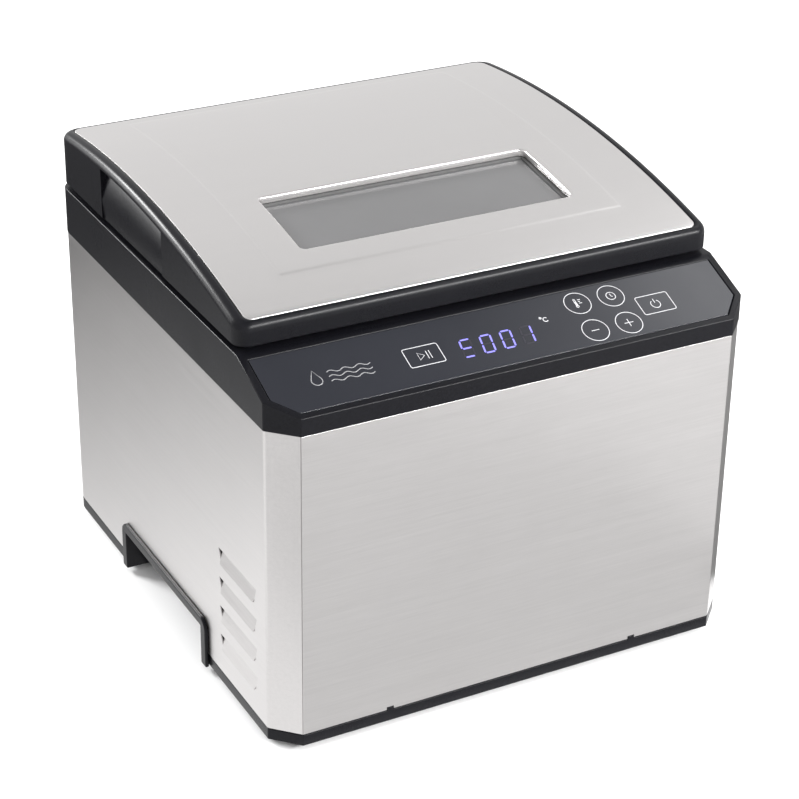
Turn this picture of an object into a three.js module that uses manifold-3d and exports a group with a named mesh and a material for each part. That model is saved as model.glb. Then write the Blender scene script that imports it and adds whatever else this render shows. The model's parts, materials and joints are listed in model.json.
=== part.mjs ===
// Countertop water bath for slow cooking in bags: a steel-clad housing with a sloped touch panel, a deep
// drawn tank, a heater under it, and an arched lift-off lid with a window.
// Millimetres. +X is right, +Y is towards the back, +Z is up; z = 0 is the surface the feet stand on.
import * as THREE from 'three';
import { mergeVertices } from 'three/addons/utils/BufferGeometryUtils.js';
import Module from 'manifold-3d';

const wasm = await Module();
wasm.setup();

// ---------------------------------------------------------------- driving dimensions
const WIDTH = 280;
const DEPTH = 290;
const CHAMFER = 14; // front corners, leg along X and Y
const REAR_RADIUS = 11;
const FOOT_HEIGHT = 4.2;
const CLADDING_BOTTOM = 11.4;
const FRAME_BOTTOM = 186.8;
const FRAME_TOP = 214.45;
const KNEE_Y = -100.8; // where the level top turns down into the control deck
const DECK_SLOPE = 0.4; // mm down for each mm forward
const SHEET = 0.8;
const CLADDING_INSET = 0.3;
const FRAME_WALL = 2.5;

const TANK = { x: 117, front: -82, back: 126, bottom: 62.8, radius: 18 };
const FLANGE_WIDTH = 8;
const FLANGE_TOP = 216.2;

const LID = { x: 139, front: -100.6, back: 144.2, bottom: 216.7, frontRadius: 8, backRadius: 10 };
const ARCH_RADIUS = 651.5;
const ARCH_TOP = { y: 66.6, z: 250.8 };
const LID_ROLL = { side: 4.4, end: 5.2 };
const PANEL_INSET = { side: 6.5, front: 3.9, back: 3.7 };
const WINDOW = { x: 81, front: -52.4, back: 1.5 };

const HAND_HOLD = {
  front: -49, back: 59, top: 27.5, depth: 30, wall: 2, proud: 2, trim: 6.4, trimTop: 5.5,
};
const LOUVRE = {
  front: -119, back: -72, pitch: 18, lowest: 26, height: 9, taper: 3.4, pivot: 2.8, lean: 0.38, count: 4,
};
const FOOT = { x: 112, front: -116, back: 118, radius: 12 };
const GAP = 0.3;

const HALF_W = WIDTH / 2;
const HALF_D = DEPTH / 2;
const REAR_SKIN = HALF_D - 1.4; // outer face of the rear panel, inside the lips of the side panels
const REAR_PANEL_X = HALF_W - 15;

// ---------------------------------------------------------------- materials
const paint = (color, roughness, metalness = 0) =>
  new THREE.MeshStandardMaterial({ color, roughness, metalness });
const MATERIALS = {
  steel: paint('#c9c7c4', 0.34, 1),
  tankSteel: paint('#d2d2d2', 0.22, 1),
  blackPlastic: paint('#1d1d20', 0.5),
  panelGlass: paint('#3c3d43', 0.12),
  windowGlass: paint('#8f8f90', 0.08),
  rubber: paint('#18181a', 0.85),
  silicone: paint('#8c8c8a', 0.7),
  board: paint('#1f5a38', 0.6),
  darkPart: paint('#222226', 0.6),
  aluminium: paint('#b4b6b8', 0.4, 1),
  wool: paint('#d8d4c6', 0.95),
  screw: paint('#b8b8b8', 0.35, 1),
  wire: paint('#a8322a', 0.55),
};

// ---------------------------------------------------------------- solids
function toSolid(geometry) {
  const bare = geometry.clone();
  bare.deleteAttribute('normal');
  bare.deleteAttribute('uv');
  const merged = mergeVertices(bare, 1e-4);
  return new wasm.Manifold(new wasm.Mesh({
    numProp: 3,
    vertProperties: new Float32Array(merged.attributes.position.array),
    triVerts: new Uint32Array(merged.index.array),
  }));
}

function toGeometry(solid) {
  const { vertProperties, triVerts } = solid.getMesh();
  const geometry = new THREE.BufferGeometry();
  geometry.setAttribute('position', new THREE.BufferAttribute(new Float32Array(vertProperties), 3));
  geometry.setIndex(new THREE.BufferAttribute(new Uint32Array(triVerts), 1));
  geometry.computeVertexNormals();
  return geometry;
}

const union = (first, ...rest) => rest.reduce((sum, next) => sum.add(next), first);
const cut = (first, ...rest) => rest.reduce((left, next) => left.subtract(next), first);

function box(x0, x1, y0, y1, z0, z1) {
  const geometry = new THREE.BoxGeometry(x1 - x0, y1 - y0, z1 - z0);
  geometry.translate((x0 + x1) / 2, (y0 + y1) / 2, (z0 + z1) / 2);
  return toSolid(geometry);
}

// A box given for the right side; side = -1 puts its mirror image on the left.
function sideBox(side, x0, x1, ...rest) {
  return side > 0 ? box(x0, x1, ...rest) : box(-x1, -x0, ...rest);
}

function slab(shape, z0, z1, curveSegments = 5) {
  const geometry = new THREE.ExtrudeGeometry(shape, { depth: z1 - z0, bevelEnabled: false, curveSegments });
  geometry.translate(0, 0, z0);
  return toSolid(geometry);
}

// Extrudes a (y, z) profile along X; roll rounds its two end edges.
function alongX(shape, x0, x1, roll = 0, curveSegments = 8) {
  const geometry = new THREE.ExtrudeGeometry(shape, {
    depth: x1 - x0 - 2 * roll,
    bevelEnabled: roll > 0,
    bevelThickness: roll,
    bevelSize: roll,
    bevelOffset: -roll,
    bevelSegments: 4,
    curveSegments,
  });
  geometry.translate(0, 0, x0 + roll);
  const yzx = new THREE.Matrix4().makeBasis(
    new THREE.Vector3(0, 1, 0), new THREE.Vector3(0, 0, 1), new THREE.Vector3(1, 0, 0));
  return toSolid(geometry.applyMatrix4(yzx));
}

// Extrudes an (x, z) profile along Y.
function alongY(shape, y0, y1, curveSegments = 6) {
  const geometry = new THREE.ExtrudeGeometry(shape, { depth: y1 - y0, bevelEnabled: false, curveSegments });
  const xz = new THREE.Matrix4().makeBasis(
    new THREE.Vector3(1, 0, 0), new THREE.Vector3(0, 0, 1), new THREE.Vector3(0, -1, 0));
  return toSolid(geometry.applyMatrix4(xz).translate(0, y1, 0));
}

function rod(radius, from, to, sides = 12) {
  const start = new THREE.Vector3(...from);
  const along = new THREE.Vector3(...to).sub(start);
  const geometry = new THREE.CylinderGeometry(radius, radius, along.length(), sides);
  const turn = new THREE.Quaternion().setFromUnitVectors(
    new THREE.Vector3(0, 1, 0), along.clone().normalize());
  geometry.applyQuaternion(turn);
  geometry.translate(...start.addScaledVector(along, 0.5).toArray());
  return toSolid(geometry);
}

// Turns an (r, z) profile about a vertical axis at (x, y).
function turned(profile, x, y, sides = 16) {
  const geometry = new THREE.LatheGeometry(profile.map(([r, z]) => new THREE.Vector2(r, z)), sides);
  geometry.rotateX(Math.PI / 2);
  geometry.translate(x, y, 0);
  return toSolid(geometry);
}

// A round lead along a smooth path.
function lead(radius, points, steps) {
  const path = new THREE.CatmullRomCurve3(points.map((p) => new THREE.Vector3(...p)));
  const round = new THREE.Shape().absarc(0, 0, radius, 0, Math.PI * 2);
  return toSolid(new THREE.ExtrudeGeometry(round, {
    steps, extrudePath: path, bevelEnabled: false, curveSegments: 4,
  }));
}

function polygon(points) {
  return new THREE.Shape(points.map(([a, b]) => new THREE.Vector2(a, b)));
}

// ---------------------------------------------------------------- outlines
// Plan outline of the housing, moved inwards by inset.
function footprint(inset = 0) {
  const w = HALF_W - inset;
  const front = -HALF_D + inset;
  const back = HALF_D - inset;
  const leg = CHAMFER - inset * (2 - Math.SQRT2);
  const r = REAR_RADIUS - inset;
  const shape = new THREE.Shape();
  shape.moveTo(-w + leg, front);
  shape.lineTo(w - leg, front);
  shape.lineTo(w, front + leg);
  shape.absarc(w - r, back - r, r, 0, Math.PI / 2);
  shape.absarc(-w + r, back - r, r, Math.PI / 2, Math.PI);
  shape.lineTo(-w, front + leg);
  shape.closePath();
  return shape;
}

// Rectangle from corner to corner; the two front and two back corners have their own radii.
function rounded(x0, x1, y0, y1, frontRadius, backRadius = frontRadius) {
  const shape = new THREE.Shape();
  shape.absarc(x1 - backRadius, y1 - backRadius, backRadius, 0, Math.PI / 2);
  shape.absarc(x0 + backRadius, y1 - backRadius, backRadius, Math.PI / 2, Math.PI);
  shape.absarc(x0 + frontRadius, y0 + frontRadius, frontRadius, Math.PI, Math.PI * 1.5);
  shape.absarc(x1 - frontRadius, y0 + frontRadius, frontRadius, Math.PI * 1.5, Math.PI * 2);
  shape.closePath();
  return shape;
}

function tankOutline(grow) {
  const { x, front, back, radius } = TANK;
  return rounded(-x - grow, x + grow, front - grow, back + grow, radius + grow);
}

function lidOutline(side, front = side, back = side) {
  const { x, frontRadius, backRadius } = LID;
  const least = 1.5;
  return rounded(-x + side, x - side, LID.front + front, LID.back - back,
    Math.max(frontRadius - front, least), Math.max(backRadius - back, least));
}

const deckHeight = (y) => FRAME_TOP + DECK_SLOPE * (y - KNEE_Y);
const archHeight = (y, drop = 0) =>
  ARCH_TOP.z - ARCH_RADIUS + Math.sqrt((ARCH_RADIUS - drop) ** 2 - (y - ARCH_TOP.y) ** 2);

// Everything between the deck's plane lowered by d0 and by d1, over the full width.
function deckLayer(d0, d1, reach = 70) {
  const low = KNEE_Y - reach;
  const high = KNEE_Y + 12;
  return alongX(polygon([
    [low, deckHeight(low) - d1], [high, deckHeight(high) - d1],
    [high, deckHeight(high) - d0], [low, deckHeight(low) - d0],
  ]), -HALF_W - 10, HALF_W + 10);
}

// The (y, z) profile under the lid's arch, lowered by drop, down to z = base.
function archProfile(drop, base, front, back, corner = 0) {
  const radius = ARCH_RADIUS - drop;
  const angle = (y) => Math.acos((y - ARCH_TOP.y) / radius);
  const shape = new THREE.Shape();
  shape.moveTo(front, base);
  shape.lineTo(back, base);
  if (corner > 0) {
    shape.lineTo(back, archHeight(back, drop) - corner);
    shape.quadraticCurveTo(back, archHeight(back, drop), back - corner, archHeight(back - corner, drop));
  }
  shape.absarc(ARCH_TOP.y, ARCH_TOP.z - ARCH_RADIUS, radius, angle(back - corner), angle(front + corner));
  if (corner > 0) {
    shape.quadraticCurveTo(front, archHeight(front, drop), front, archHeight(front, drop) - corner * 0.9);
  }
  shape.closePath();
  return shape;
}

// The layer under the arch between two drops.
function archLayer(drop0, drop1, x) {
  const front = LID.front - 5;
  const back = LID.back + 5;
  const upper = alongX(archProfile(drop0, LID.bottom - 20, front, back), -x, x);
  return cut(upper, alongX(archProfile(drop1, LID.bottom - 30, front, back), -x - 1, x + 1));
}

// ---------------------------------------------------------------- assembly
const machine = new THREE.Group();
const housing = new THREE.Group();
const lid = new THREE.Group();
const rack = new THREE.Group();
machine.add(housing, lid, rack);

function place(group, name, solid, material) {
  const mesh = new THREE.Mesh(toGeometry(solid), material);
  mesh.name = name;
  group.add(mesh);
}

const SIDES = [['left', -1], ['right', 1]];

// ---------------------------------------------------------------- base
const CUP_OUTER = {
  front: HAND_HOLD.front - HAND_HOLD.wall,
  back: HAND_HOLD.back + HAND_HOLD.wall,
  top: HAND_HOLD.top + HAND_HOLD.wall,
  x: HALF_W - HAND_HOLD.depth - HAND_HOLD.wall,
};
const CLIP = { x: 75, width: 3.6, top: CLADDING_BOTTOM + 1.4 };
const BOARD_SLOT = { x: 100, y: -132, thickness: 1.6 };
const FEET = [['front_left', -1, FOOT.front], ['front_right', 1, FOOT.front],
  ['back_left', -1, FOOT.back], ['back_right', 1, FOOT.back]];

// The space that the rear panel stands in, cut out of the lips of the tray and the frame.
function behindRearPanel(z0, z1) {
  return box(-REAR_PANEL_X - GAP, REAR_PANEL_X + GAP, REAR_SKIN - SHEET - GAP, HALF_D, z0, z1);
}

function baseTray() {
  const floorTop = FOOT_HEIGHT + 2.5;
  const lipTop = 24;
  let tray = slab(footprint(CLADDING_INSET), FOOT_HEIGHT, CLADDING_BOTTOM - 0.5);
  tray = tray.add(slab(footprint(CLADDING_INSET + SHEET + GAP), CLADDING_BOTTOM - 1, lipTop));
  tray = tray.subtract(slab(footprint(CLADDING_INSET + SHEET + GAP + 2), floorTop, lipTop + 1));
  for (const side of [-1, 1]) {
    tray = tray.add(box(side * CLIP.x - CLIP.width / 2, side * CLIP.x + CLIP.width / 2,
      -HALF_D + CLADDING_INSET, -HALF_D + 3, CLADDING_BOTTOM - 2, CLIP.top));
    const post = sideBox(side, BOARD_SLOT.x - 1, BOARD_SLOT.x + 6,
      BOARD_SLOT.y - 4, BOARD_SLOT.y + 4 + BOARD_SLOT.thickness, FOOT_HEIGHT + 1, 44);
    const slot = sideBox(side, BOARD_SLOT.x - 2, BOARD_SLOT.x + 3,
      BOARD_SLOT.y - GAP, BOARD_SLOT.y + BOARD_SLOT.thickness + GAP, floorTop, 45);
    tray = tray.add(post).subtract(slot);
  }
  tray = tray.subtract(behindRearPanel(CLADDING_BOTTOM, lipTop + 1));
  for (const [, side, y] of FEET) {
    tray = tray.add(rod(6, [side * FOOT.x, y, FOOT_HEIGHT + 1], [side * FOOT.x, y, 17]));
    tray = tray.subtract(rod(2.2, [side * FOOT.x, y, 0], [side * FOOT.x, y, 18], 8));
  }
  for (const side of [-1, 1]) {
    tray = tray.subtract(sideBox(side, CUP_OUTER.x - GAP, HALF_W + 5,
      CUP_OUTER.front - GAP, CUP_OUTER.back + GAP, 0, 40));
  }
  for (let row = 0; row < 7; row += 1) {
    const y = -60 + row * 20;
    tray = tray.subtract(box(-35, 35, y - 2.5, y + 2.5, 0, 10));
  }
  return tray;
}
place(housing, 'base_tray', baseTray(), MATERIALS.blackPlastic);

for (const [corner, side, y] of FEET) {
  const x = side * FOOT.x;
  const r = FOOT.radius;
  place(housing, `foot_${corner}`, turned([
    [4.6, 0], [r - 1, 0], [r, 1], [r, FOOT_HEIGHT], [2.3, FOOT_HEIGHT], [2.3, 2.2], [4.6, 2.2], [4.6, 0],
  ], x, y, 16), MATERIALS.rubber);
  place(housing, `foot_screw_${corner}`, turned([
    [0, 0.7], [4, 0.7], [4, 2.1], [1.9, 2.1], [1.9, 14], [0, 14],
  ], x, y, 10), MATERIALS.screw);
}

// ---------------------------------------------------------------- cladding
// A louvre is a strip lanced out of the skin and turned about a level line, so that its upper edge goes
// in and its lower edge comes out. It stays joined to the skin at both ends of that line.
function louvre(side, z) {
  const { front, back, height, taper, pivot, lean } = LOUVRE;
  const skin = HALF_W - CLADDING_INSET;
  const trapezoid = (grow) => polygon([
    [front - grow, z + height], [front + taper - grow, z],
    [back - taper + grow, z], [back + grow, z + height],
  ]);
  const slot = alongX(trapezoid(0), side * skin - 3, side * skin + 3);
  const face = (dz, depth) => [side * (skin - (dz - pivot) * lean - depth), z + dz];
  const strip = alongY(polygon([
    face(GAP, 0), face(height - GAP, 0), face(height - GAP, SHEET), face(GAP, SHEET),
  ]), front - 1, back + 1);
  return { slot, strip: strip.intersect(alongX(trapezoid(0.15), side * skin - 6, side * skin + 6)) };
}

function sidePanel(side) {
  const skin = footprint(CLADDING_INSET);
  const inner = footprint(CLADDING_INSET + SHEET);
  const wrap = slab(skin, CLADDING_BOTTOM, FRAME_BOTTOM).subtract(slab(inner, 0, FRAME_BOTTOM + 1));
  const foldX = HALF_W - CHAMFER + 0.1;
  let panel = wrap.intersect(sideBox(side, HALF_W - 23, HALF_W + 5, -HALF_D, HALF_D, 0, FRAME_BOTTOM));
  panel = panel.subtract(sideBox(side, 0, foldX, -HALF_D - 1, -HALF_D + 5, 0, FRAME_BOTTOM + 1));
  panel = panel.subtract(sideBox(side, HALF_W - 10, HALF_W + 5,
    CUP_OUTER.front - GAP, CUP_OUTER.back + GAP, 0, CUP_OUTER.top + GAP));
  for (let i = 0; i < LOUVRE.count; i += 1) {
    const { slot, strip } = louvre(side, LOUVRE.lowest + i * LOUVRE.pitch);
    panel = panel.subtract(slot).add(strip);
  }
  return panel;
}
for (const [name, side] of SIDES) {
  place(housing, `${name}_side_panel`, sidePanel(side), MATERIALS.steel);
}

const FRONT_FOLD_X = HALF_W - CHAMFER - 0.2;
function frontPanel() {
  const out = -HALF_D + CLADDING_INSET;
  const returnDepth = 7;
  let panel = box(-FRONT_FOLD_X, FRONT_FOLD_X, out, out + SHEET, CLADDING_BOTTOM, FRAME_BOTTOM);
  for (const side of [-1, 1]) {
    panel = panel.add(sideBox(side, FRONT_FOLD_X - 1.2 - SHEET, FRONT_FOLD_X - 1.2,
      out, out + returnDepth, CLADDING_BOTTOM + 14, FRAME_BOTTOM - 8));
    panel = panel.subtract(box(side * CLIP.x - CLIP.width / 2 - GAP, side * CLIP.x + CLIP.width / 2 + GAP,
      out - 1, out + SHEET + 1, 0, CLIP.top + GAP));
  }
  return panel;
}
place(housing, 'front_panel', frontPanel(), MATERIALS.steel);

const REAR_SCREWS = [[-108, 34], [108, 34], [-108, 176], [108, 176]];
const INLET = {
  x: 76, z: 44, openWidth: 27.4, openHeight: 20, flangeWidth: 50, flangeHeight: 25, screwX: 20,
};

function rearPanel() {
  let panel = box(-REAR_PANEL_X, REAR_PANEL_X, REAR_SKIN - SHEET, REAR_SKIN,
    CLADDING_BOTTOM + GAP, FRAME_BOTTOM - GAP);
  panel = panel.subtract(box(INLET.x - INLET.openWidth / 2 - GAP, INLET.x + INLET.openWidth / 2 + GAP,
    REAR_SKIN - 5, REAR_SKIN + 5,
    INLET.z - INLET.openHeight / 2 - GAP, INLET.z + INLET.openHeight / 2 + GAP));
  const holes = [...REAR_SCREWS, [INLET.x - INLET.screwX, INLET.z], [INLET.x + INLET.screwX, INLET.z]];
  for (const [x, z] of holes) {
    panel = panel.subtract(rod(1.8, [x, REAR_SKIN - 5, z], [x, REAR_SKIN + 5, z], 8));
  }
  for (let row = 0; row < 6; row += 1) {
    const z = 60 + row * 9;
    panel = panel.subtract(box(-70, -30, REAR_SKIN - 5, REAR_SKIN + 5, z, z + 3));
  }
  return panel;
}
place(housing, 'rear_panel', rearPanel(), MATERIALS.steel);

// Pan-head screw driven forwards through the rear panel.
function rearScrew(x, z, headFrom) {
  return union(rod(3, [x, headFrom, z], [x, headFrom + 1.2, z], 10),
    rod(1.5, [x, headFrom - 6, z], [x, headFrom + 0.2, z], 8));
}
REAR_SCREWS.forEach(([x, z], i) => {
  place(housing, `rear_panel_screw_${i + 1}`, rearScrew(x, z, REAR_SKIN + 0.05), MATERIALS.screw);
});

// ---------------------------------------------------------------- hand holds
function handHoldCup(side) {
  const { front, back, top, wall, proud, trim, trimTop } = HAND_HOLD;
  const low = FOOT_HEIGHT - 0.8;
  const y0 = front - trim;
  const y1 = back + trim;
  const z1 = top + trimTop;
  const corner = 7;
  const outline = new THREE.Shape();
  outline.moveTo(y0, low);
  outline.lineTo(y1, low);
  outline.absarc(y1 - corner, z1 - corner, corner, 0, Math.PI / 2);
  outline.absarc(y0 + corner, z1 - corner, corner, Math.PI / 2, Math.PI);
  outline.closePath();
  const x0 = HALF_W - 0.1;
  const x1 = HALF_W + proud;
  const flange = side > 0 ? alongX(outline, x0, x1, 0, 4) : alongX(outline, -x1, -x0, 0, 4);
  const shell = sideBox(
    side, CUP_OUTER.x, HALF_W + 0.2, CUP_OUTER.front, CUP_OUTER.back, low, CUP_OUTER.top);
  const hollow = sideBox(side, CUP_OUTER.x + wall, HALF_W + 6, front, back, low - 5, top);
  return cut(union(shell, flange), hollow);
}
for (const [name, side] of SIDES) {
  place(housing, `${name}_hand_hold`, handHoldCup(side), MATERIALS.blackPlastic);
}

// ---------------------------------------------------------------- top frame and control deck
const DECK_GLASS = { side: 4.4, front: 3.3, rearGap: 4, thickness: 1.8, seat: 2.3 };

// Plan outline of the control glass: it follows the chamfered corners and stops short of the knee.
function glassOutline(gap) {
  const x = HALF_W - DECK_GLASS.side - gap;
  const front = -HALF_D + DECK_GLASS.front + gap;
  const back = KNEE_Y - DECK_GLASS.rearGap - gap;
  const leg = CHAMFER - 3;
  return polygon([
    [-x + leg, front], [x - leg, front], [x, front + leg], [x, back], [-x, back], [-x, front + leg],
  ]);
}

function topFrame() {
  const wide = HALF_W + 1;
  const fore = -HALF_D - 1;
  const envelope = union(
    box(-wide, wide, KNEE_Y, HALF_D + 1, FRAME_BOTTOM - 20, FRAME_TOP),
    deckLayer(0, 80).intersect(box(-wide, wide, fore, KNEE_Y + 1, 100, FRAME_TOP)));
  let frame = slab(footprint(), FRAME_BOTTOM, FRAME_TOP).intersect(envelope);
  const lipIn = CLADDING_INSET + SHEET + GAP;
  frame = frame.add(slab(footprint(lipIn), FRAME_BOTTOM - 7, FRAME_BOTTOM + 2));
  const ceiling = union(
    box(-wide, wide, KNEE_Y + 3, HALF_D + 1, 100, FRAME_TOP - FRAME_WALL),
    deckLayer(5, 90).intersect(box(-wide, wide, fore, KNEE_Y + 3.1, 100, FRAME_TOP)));
  const hollow = slab(footprint(lipIn + 2), FRAME_BOTTOM - 10, FRAME_TOP - FRAME_WALL);
  frame = frame.subtract(hollow.intersect(ceiling));
  frame = frame.subtract(slab(glassOutline(0), 150, 230).intersect(deckLayer(-6, DECK_GLASS.seat)));
  return cut(frame, box(-112, 112, -136, -112, 150, 230), slab(tankOutline(1.5), 150, 230),
    behindRearPanel(FRAME_BOTTOM - 10, FRAME_BOTTOM));
}
place(housing, 'top_frame', topFrame(), MATERIALS.blackPlastic);

place(housing, 'control_glass',
  slab(glassOutline(GAP), 150, 230).intersect(deckLayer(0.1, 0.1 + DECK_GLASS.thickness)),
  MATERIALS.panelGlass);
place(housing, 'display_module',
  box(-42, 24, -135, -114, 150, 230).intersect(deckLayer(2.6, 7.4)), MATERIALS.darkPart);
place(housing, 'control_board',
  box(-108, 108, -135, -113, 150, 230).intersect(deckLayer(7.7, 9.3)), MATERIALS.board);
place(housing, 'buzzer',
  rod(6, [84, -124, 150], [84, -124, 230]).intersect(deckLayer(9.6, 17)), MATERIALS.darkPart);

// ---------------------------------------------------------------- tank and heater
const TANK_STEP = 6; // the floor's corner is a step inwards and down

function tank() {
  let shell = slab(tankOutline(SHEET), TANK.bottom - SHEET + TANK_STEP, FLANGE_TOP);
  shell = shell.add(slab(tankOutline(FLANGE_WIDTH), FLANGE_TOP - SHEET, FLANGE_TOP));
  shell = shell.add(slab(tankOutline(SHEET - TANK_STEP), TANK.bottom - SHEET, TANK.bottom + 8));
  const hollow = union(slab(tankOutline(0), TANK.bottom + TANK_STEP, FLANGE_TOP + 1),
    slab(tankOutline(-TANK_STEP), TANK.bottom, TANK.bottom + TANK_STEP + 1));
  return shell.subtract(hollow);
}
place(housing, 'water_tank', tank(), MATERIALS.tankSteel);
place(housing, 'tank_rim_seal', slab(tankOutline(FLANGE_WIDTH - 1), FRAME_TOP, FLANGE_TOP - SHEET)
  .subtract(slab(tankOutline(FLANGE_WIDTH - 4), 0, 300)), MATERIALS.silicone);
place(housing, 'tank_insulation', slab(tankOutline(6.5), 72, 204)
  .subtract(slab(tankOutline(1.6), 0, 300)), MATERIALS.wool);

const HEATER = { top: TANK.bottom - SHEET - GAP, thickness: 4, x: 84, front: -48, back: 92 };
const HEATER_BOTTOM = HEATER.top - HEATER.thickness;
const ELEMENT_Z = HEATER_BOTTOM - 4;
place(housing, 'heater_plate', slab(rounded(-HEATER.x, HEATER.x, HEATER.front, HEATER.back, 10),
  HEATER_BOTTOM, HEATER.top, 3), MATERIALS.aluminium);
place(housing, 'heating_element', lead(3.4, [
  [-22, -66, ELEMENT_Z], [-24, -46, ELEMENT_Z], [-66, -30, ELEMENT_Z], [-70, 20, ELEMENT_Z],
  [-60, 74, ELEMENT_Z], [0, 82, ELEMENT_Z], [60, 74, ELEMENT_Z], [70, 20, ELEMENT_Z],
  [66, -30, ELEMENT_Z], [24, -46, ELEMENT_Z], [22, -66, ELEMENT_Z],
], 36), MATERIALS.steel);
place(housing, 'thermal_cutout', union(
  rod(7, [0, 22, HEATER_BOTTOM - 0.2], [0, 22, HEATER_BOTTOM - 5]),
  box(-11, 11, 20, 24, HEATER_BOTTOM - 6.5, HEATER_BOTTOM - 4)), MATERIALS.aluminium);
place(housing, 'temperature_probe', union(
  rod(3, [48, -64, TANK.bottom - 1.2], [48, -64, 40]),
  rod(5.5, [48, -64, 55], [48, -64, 50], 6)), MATERIALS.tankSteel);

// ---------------------------------------------------------------- power electronics
const BOARD_BACK = BOARD_SLOT.y + BOARD_SLOT.thickness;
const onBoard = (x0, x1, depth, z0, z1) => box(x0, x1, BOARD_BACK + 0.2, BOARD_BACK + depth, z0, z1);

place(housing, 'power_board', box(-101, 101, BOARD_SLOT.y, BOARD_BACK, 8, 120), MATERIALS.board);
place(housing, 'transformer', union(onBoard(-84, -48, 26, 70, 104), onBoard(-76, -56, 30, 74, 100)),
  MATERIALS.darkPart);
place(housing, 'relay', onBoard(-30, -10, 17, 80, 96), MATERIALS.darkPart);
place(housing, 'filter_capacitor', onBoard(8, 34, 12, 82, 100), MATERIALS.windowGlass);

function heatSink() {
  let sink = onBoard(50, 90, 24, 60, 100);
  for (let fin = 0; fin < 6; fin += 1) {
    const x = 53 + fin * 6.4;
    sink = sink.subtract(box(x, x + 3.6, BOARD_BACK + 5, BOARD_BACK + 30, 55, 105));
  }
  return sink;
}
place(housing, 'heat_sink', heatSink(), MATERIALS.aluminium);
place(housing, 'ribbon_cable', alongX(polygon([
  [-129.9, 120.6], [-128.5, 120.6], [-117.5, 184], [-117.5, 195.8], [-118.5, 195.4], [-118.5, 184.2],
]), -12, 12), MATERIALS.wire);

for (const [name, side] of SIDES) {
  place(housing, `heater_lead_${name}`, lead(1.6, [
    [side * 22, -68.5, ELEMENT_Z], [side * 26, -88, ELEMENT_Z - 3], [side * 20, -106, 52],
    [side * 12, BOARD_BACK + 6, 64], [side * 10, BOARD_BACK + 2.2, 72],
  ], 14), MATERIALS.wire);
}
place(housing, 'mains_lead', lead(2.6, [
  [INLET.x, REAR_SKIN - 25, INLET.z], [INLET.x + 6, 104, 41], [98, 84, 36], [99, 0, 38], [96, -70, 30],
  [86, -112, 34], [80, BOARD_BACK + 3.2, 44],
], 40), MATERIALS.wire);

function mainsInlet() {
  const { x, z, openWidth, openHeight, flangeWidth, flangeHeight, screwX } = INLET;
  const face = REAR_SKIN + 1.3;
  let inlet = box(
    x - openWidth / 2, x + openWidth / 2, REAR_SKIN - 23, face, z - openHeight / 2, z + openHeight / 2);
  inlet = inlet.add(box(x - flangeWidth / 2, x + flangeWidth / 2, REAR_SKIN + 0.05, face,
    z - flangeHeight / 2, z + flangeHeight / 2));
  inlet = inlet.subtract(alongY(polygon([
    [x - 12, z - 7.8], [x + 12, z - 7.8], [x + 12, z + 3.6],
    [x + 7.5, z + 8], [x - 7.5, z + 8], [x - 12, z + 3.6],
  ]), REAR_SKIN - 18, REAR_SKIN + 5));
  for (const side of [-1, 1]) {
    const at = x + side * screwX;
    inlet = inlet.subtract(rod(1.8, [at, REAR_SKIN - 5, z], [at, REAR_SKIN + 5, z], 8));
  }
  return inlet;
}
place(housing, 'mains_inlet', mainsInlet(), MATERIALS.darkPart);
for (const [name, side] of SIDES) {
  place(housing, `inlet_screw_${name}`,
    rearScrew(INLET.x + side * INLET.screwX, INLET.z, REAR_SKIN + 1.35), MATERIALS.screw);
}
[['line', -7, -2], ['neutral', 7, -2], ['earth', 0, 2.4]].forEach(([pin, dx, dz]) => {
  place(housing, `inlet_pin_${pin}`, box(INLET.x + dx - 1, INLET.x + dx + 1,
    REAR_SKIN - 17.9, REAR_SKIN - 5.5, INLET.z + dz - 2, INLET.z + dz + 2), MATERIALS.screw);
});

// ---------------------------------------------------------------- lid
const WINDOW_SLOPE = (archHeight(WINDOW.back) - archHeight(WINDOW.front)) / (WINDOW.back - WINDOW.front);
const windowHeight = (y) => archHeight(WINDOW.front) + WINDOW_SLOPE * (y - WINDOW.front);
const GRIP = { front: -5.5, back: 79.5, low: 228.4, bend: 240.5, ramp: 3.3, depth: 6.5, backing: 9 };
const LINER = { x: 112, front: -77, back: 121, floor: 210, flange: 218.6, sheet: 1 };
const LID_SCREW = { x: 130.5, ys: [-86, 130] };

// A flat layer parallel to the window, between two drops below its chord.
function windowLayer(d0, d1, y0, y1, x) {
  return alongX(polygon([
    [y0, windowHeight(y0) - d1], [y1, windowHeight(y1) - d1],
    [y1, windowHeight(y1) - d0], [y0, windowHeight(y0) - d0],
  ]), -x, x);
}

function windowRing(d0, d1, grow, width) {
  const outer = windowLayer(d0, d1, WINDOW.front - grow, WINDOW.back + grow, WINDOW.x + grow);
  const inner = grow - width;
  return outer.subtract(
    windowLayer(d0 - 1, d1 + 1, WINDOW.front - inner, WINDOW.back + inner, WINDOW.x + inner));
}

// The finger grip is a scoop whose back wall leans inwards and upwards, under the rolled edge.
function gripCutter(side) {
  const at = (depth) => side * (LID.x - depth);
  const wedge = alongY(polygon([
    [at(1.2), LID.bottom - 1], [at(0.2), GRIP.low], [at(GRIP.ramp), GRIP.bend],
    [at(GRIP.depth), GRIP.bend + 3], [at(GRIP.depth), 260], [at(-8), 260], [at(-8), LID.bottom - 1],
  ]), GRIP.front, GRIP.back);
  return wedge.intersect(
    alongX(archProfile(LID_ROLL.side + 0.4, 200, LID.front, LID.back), -LID.x - 10, LID.x + 10));
}

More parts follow.
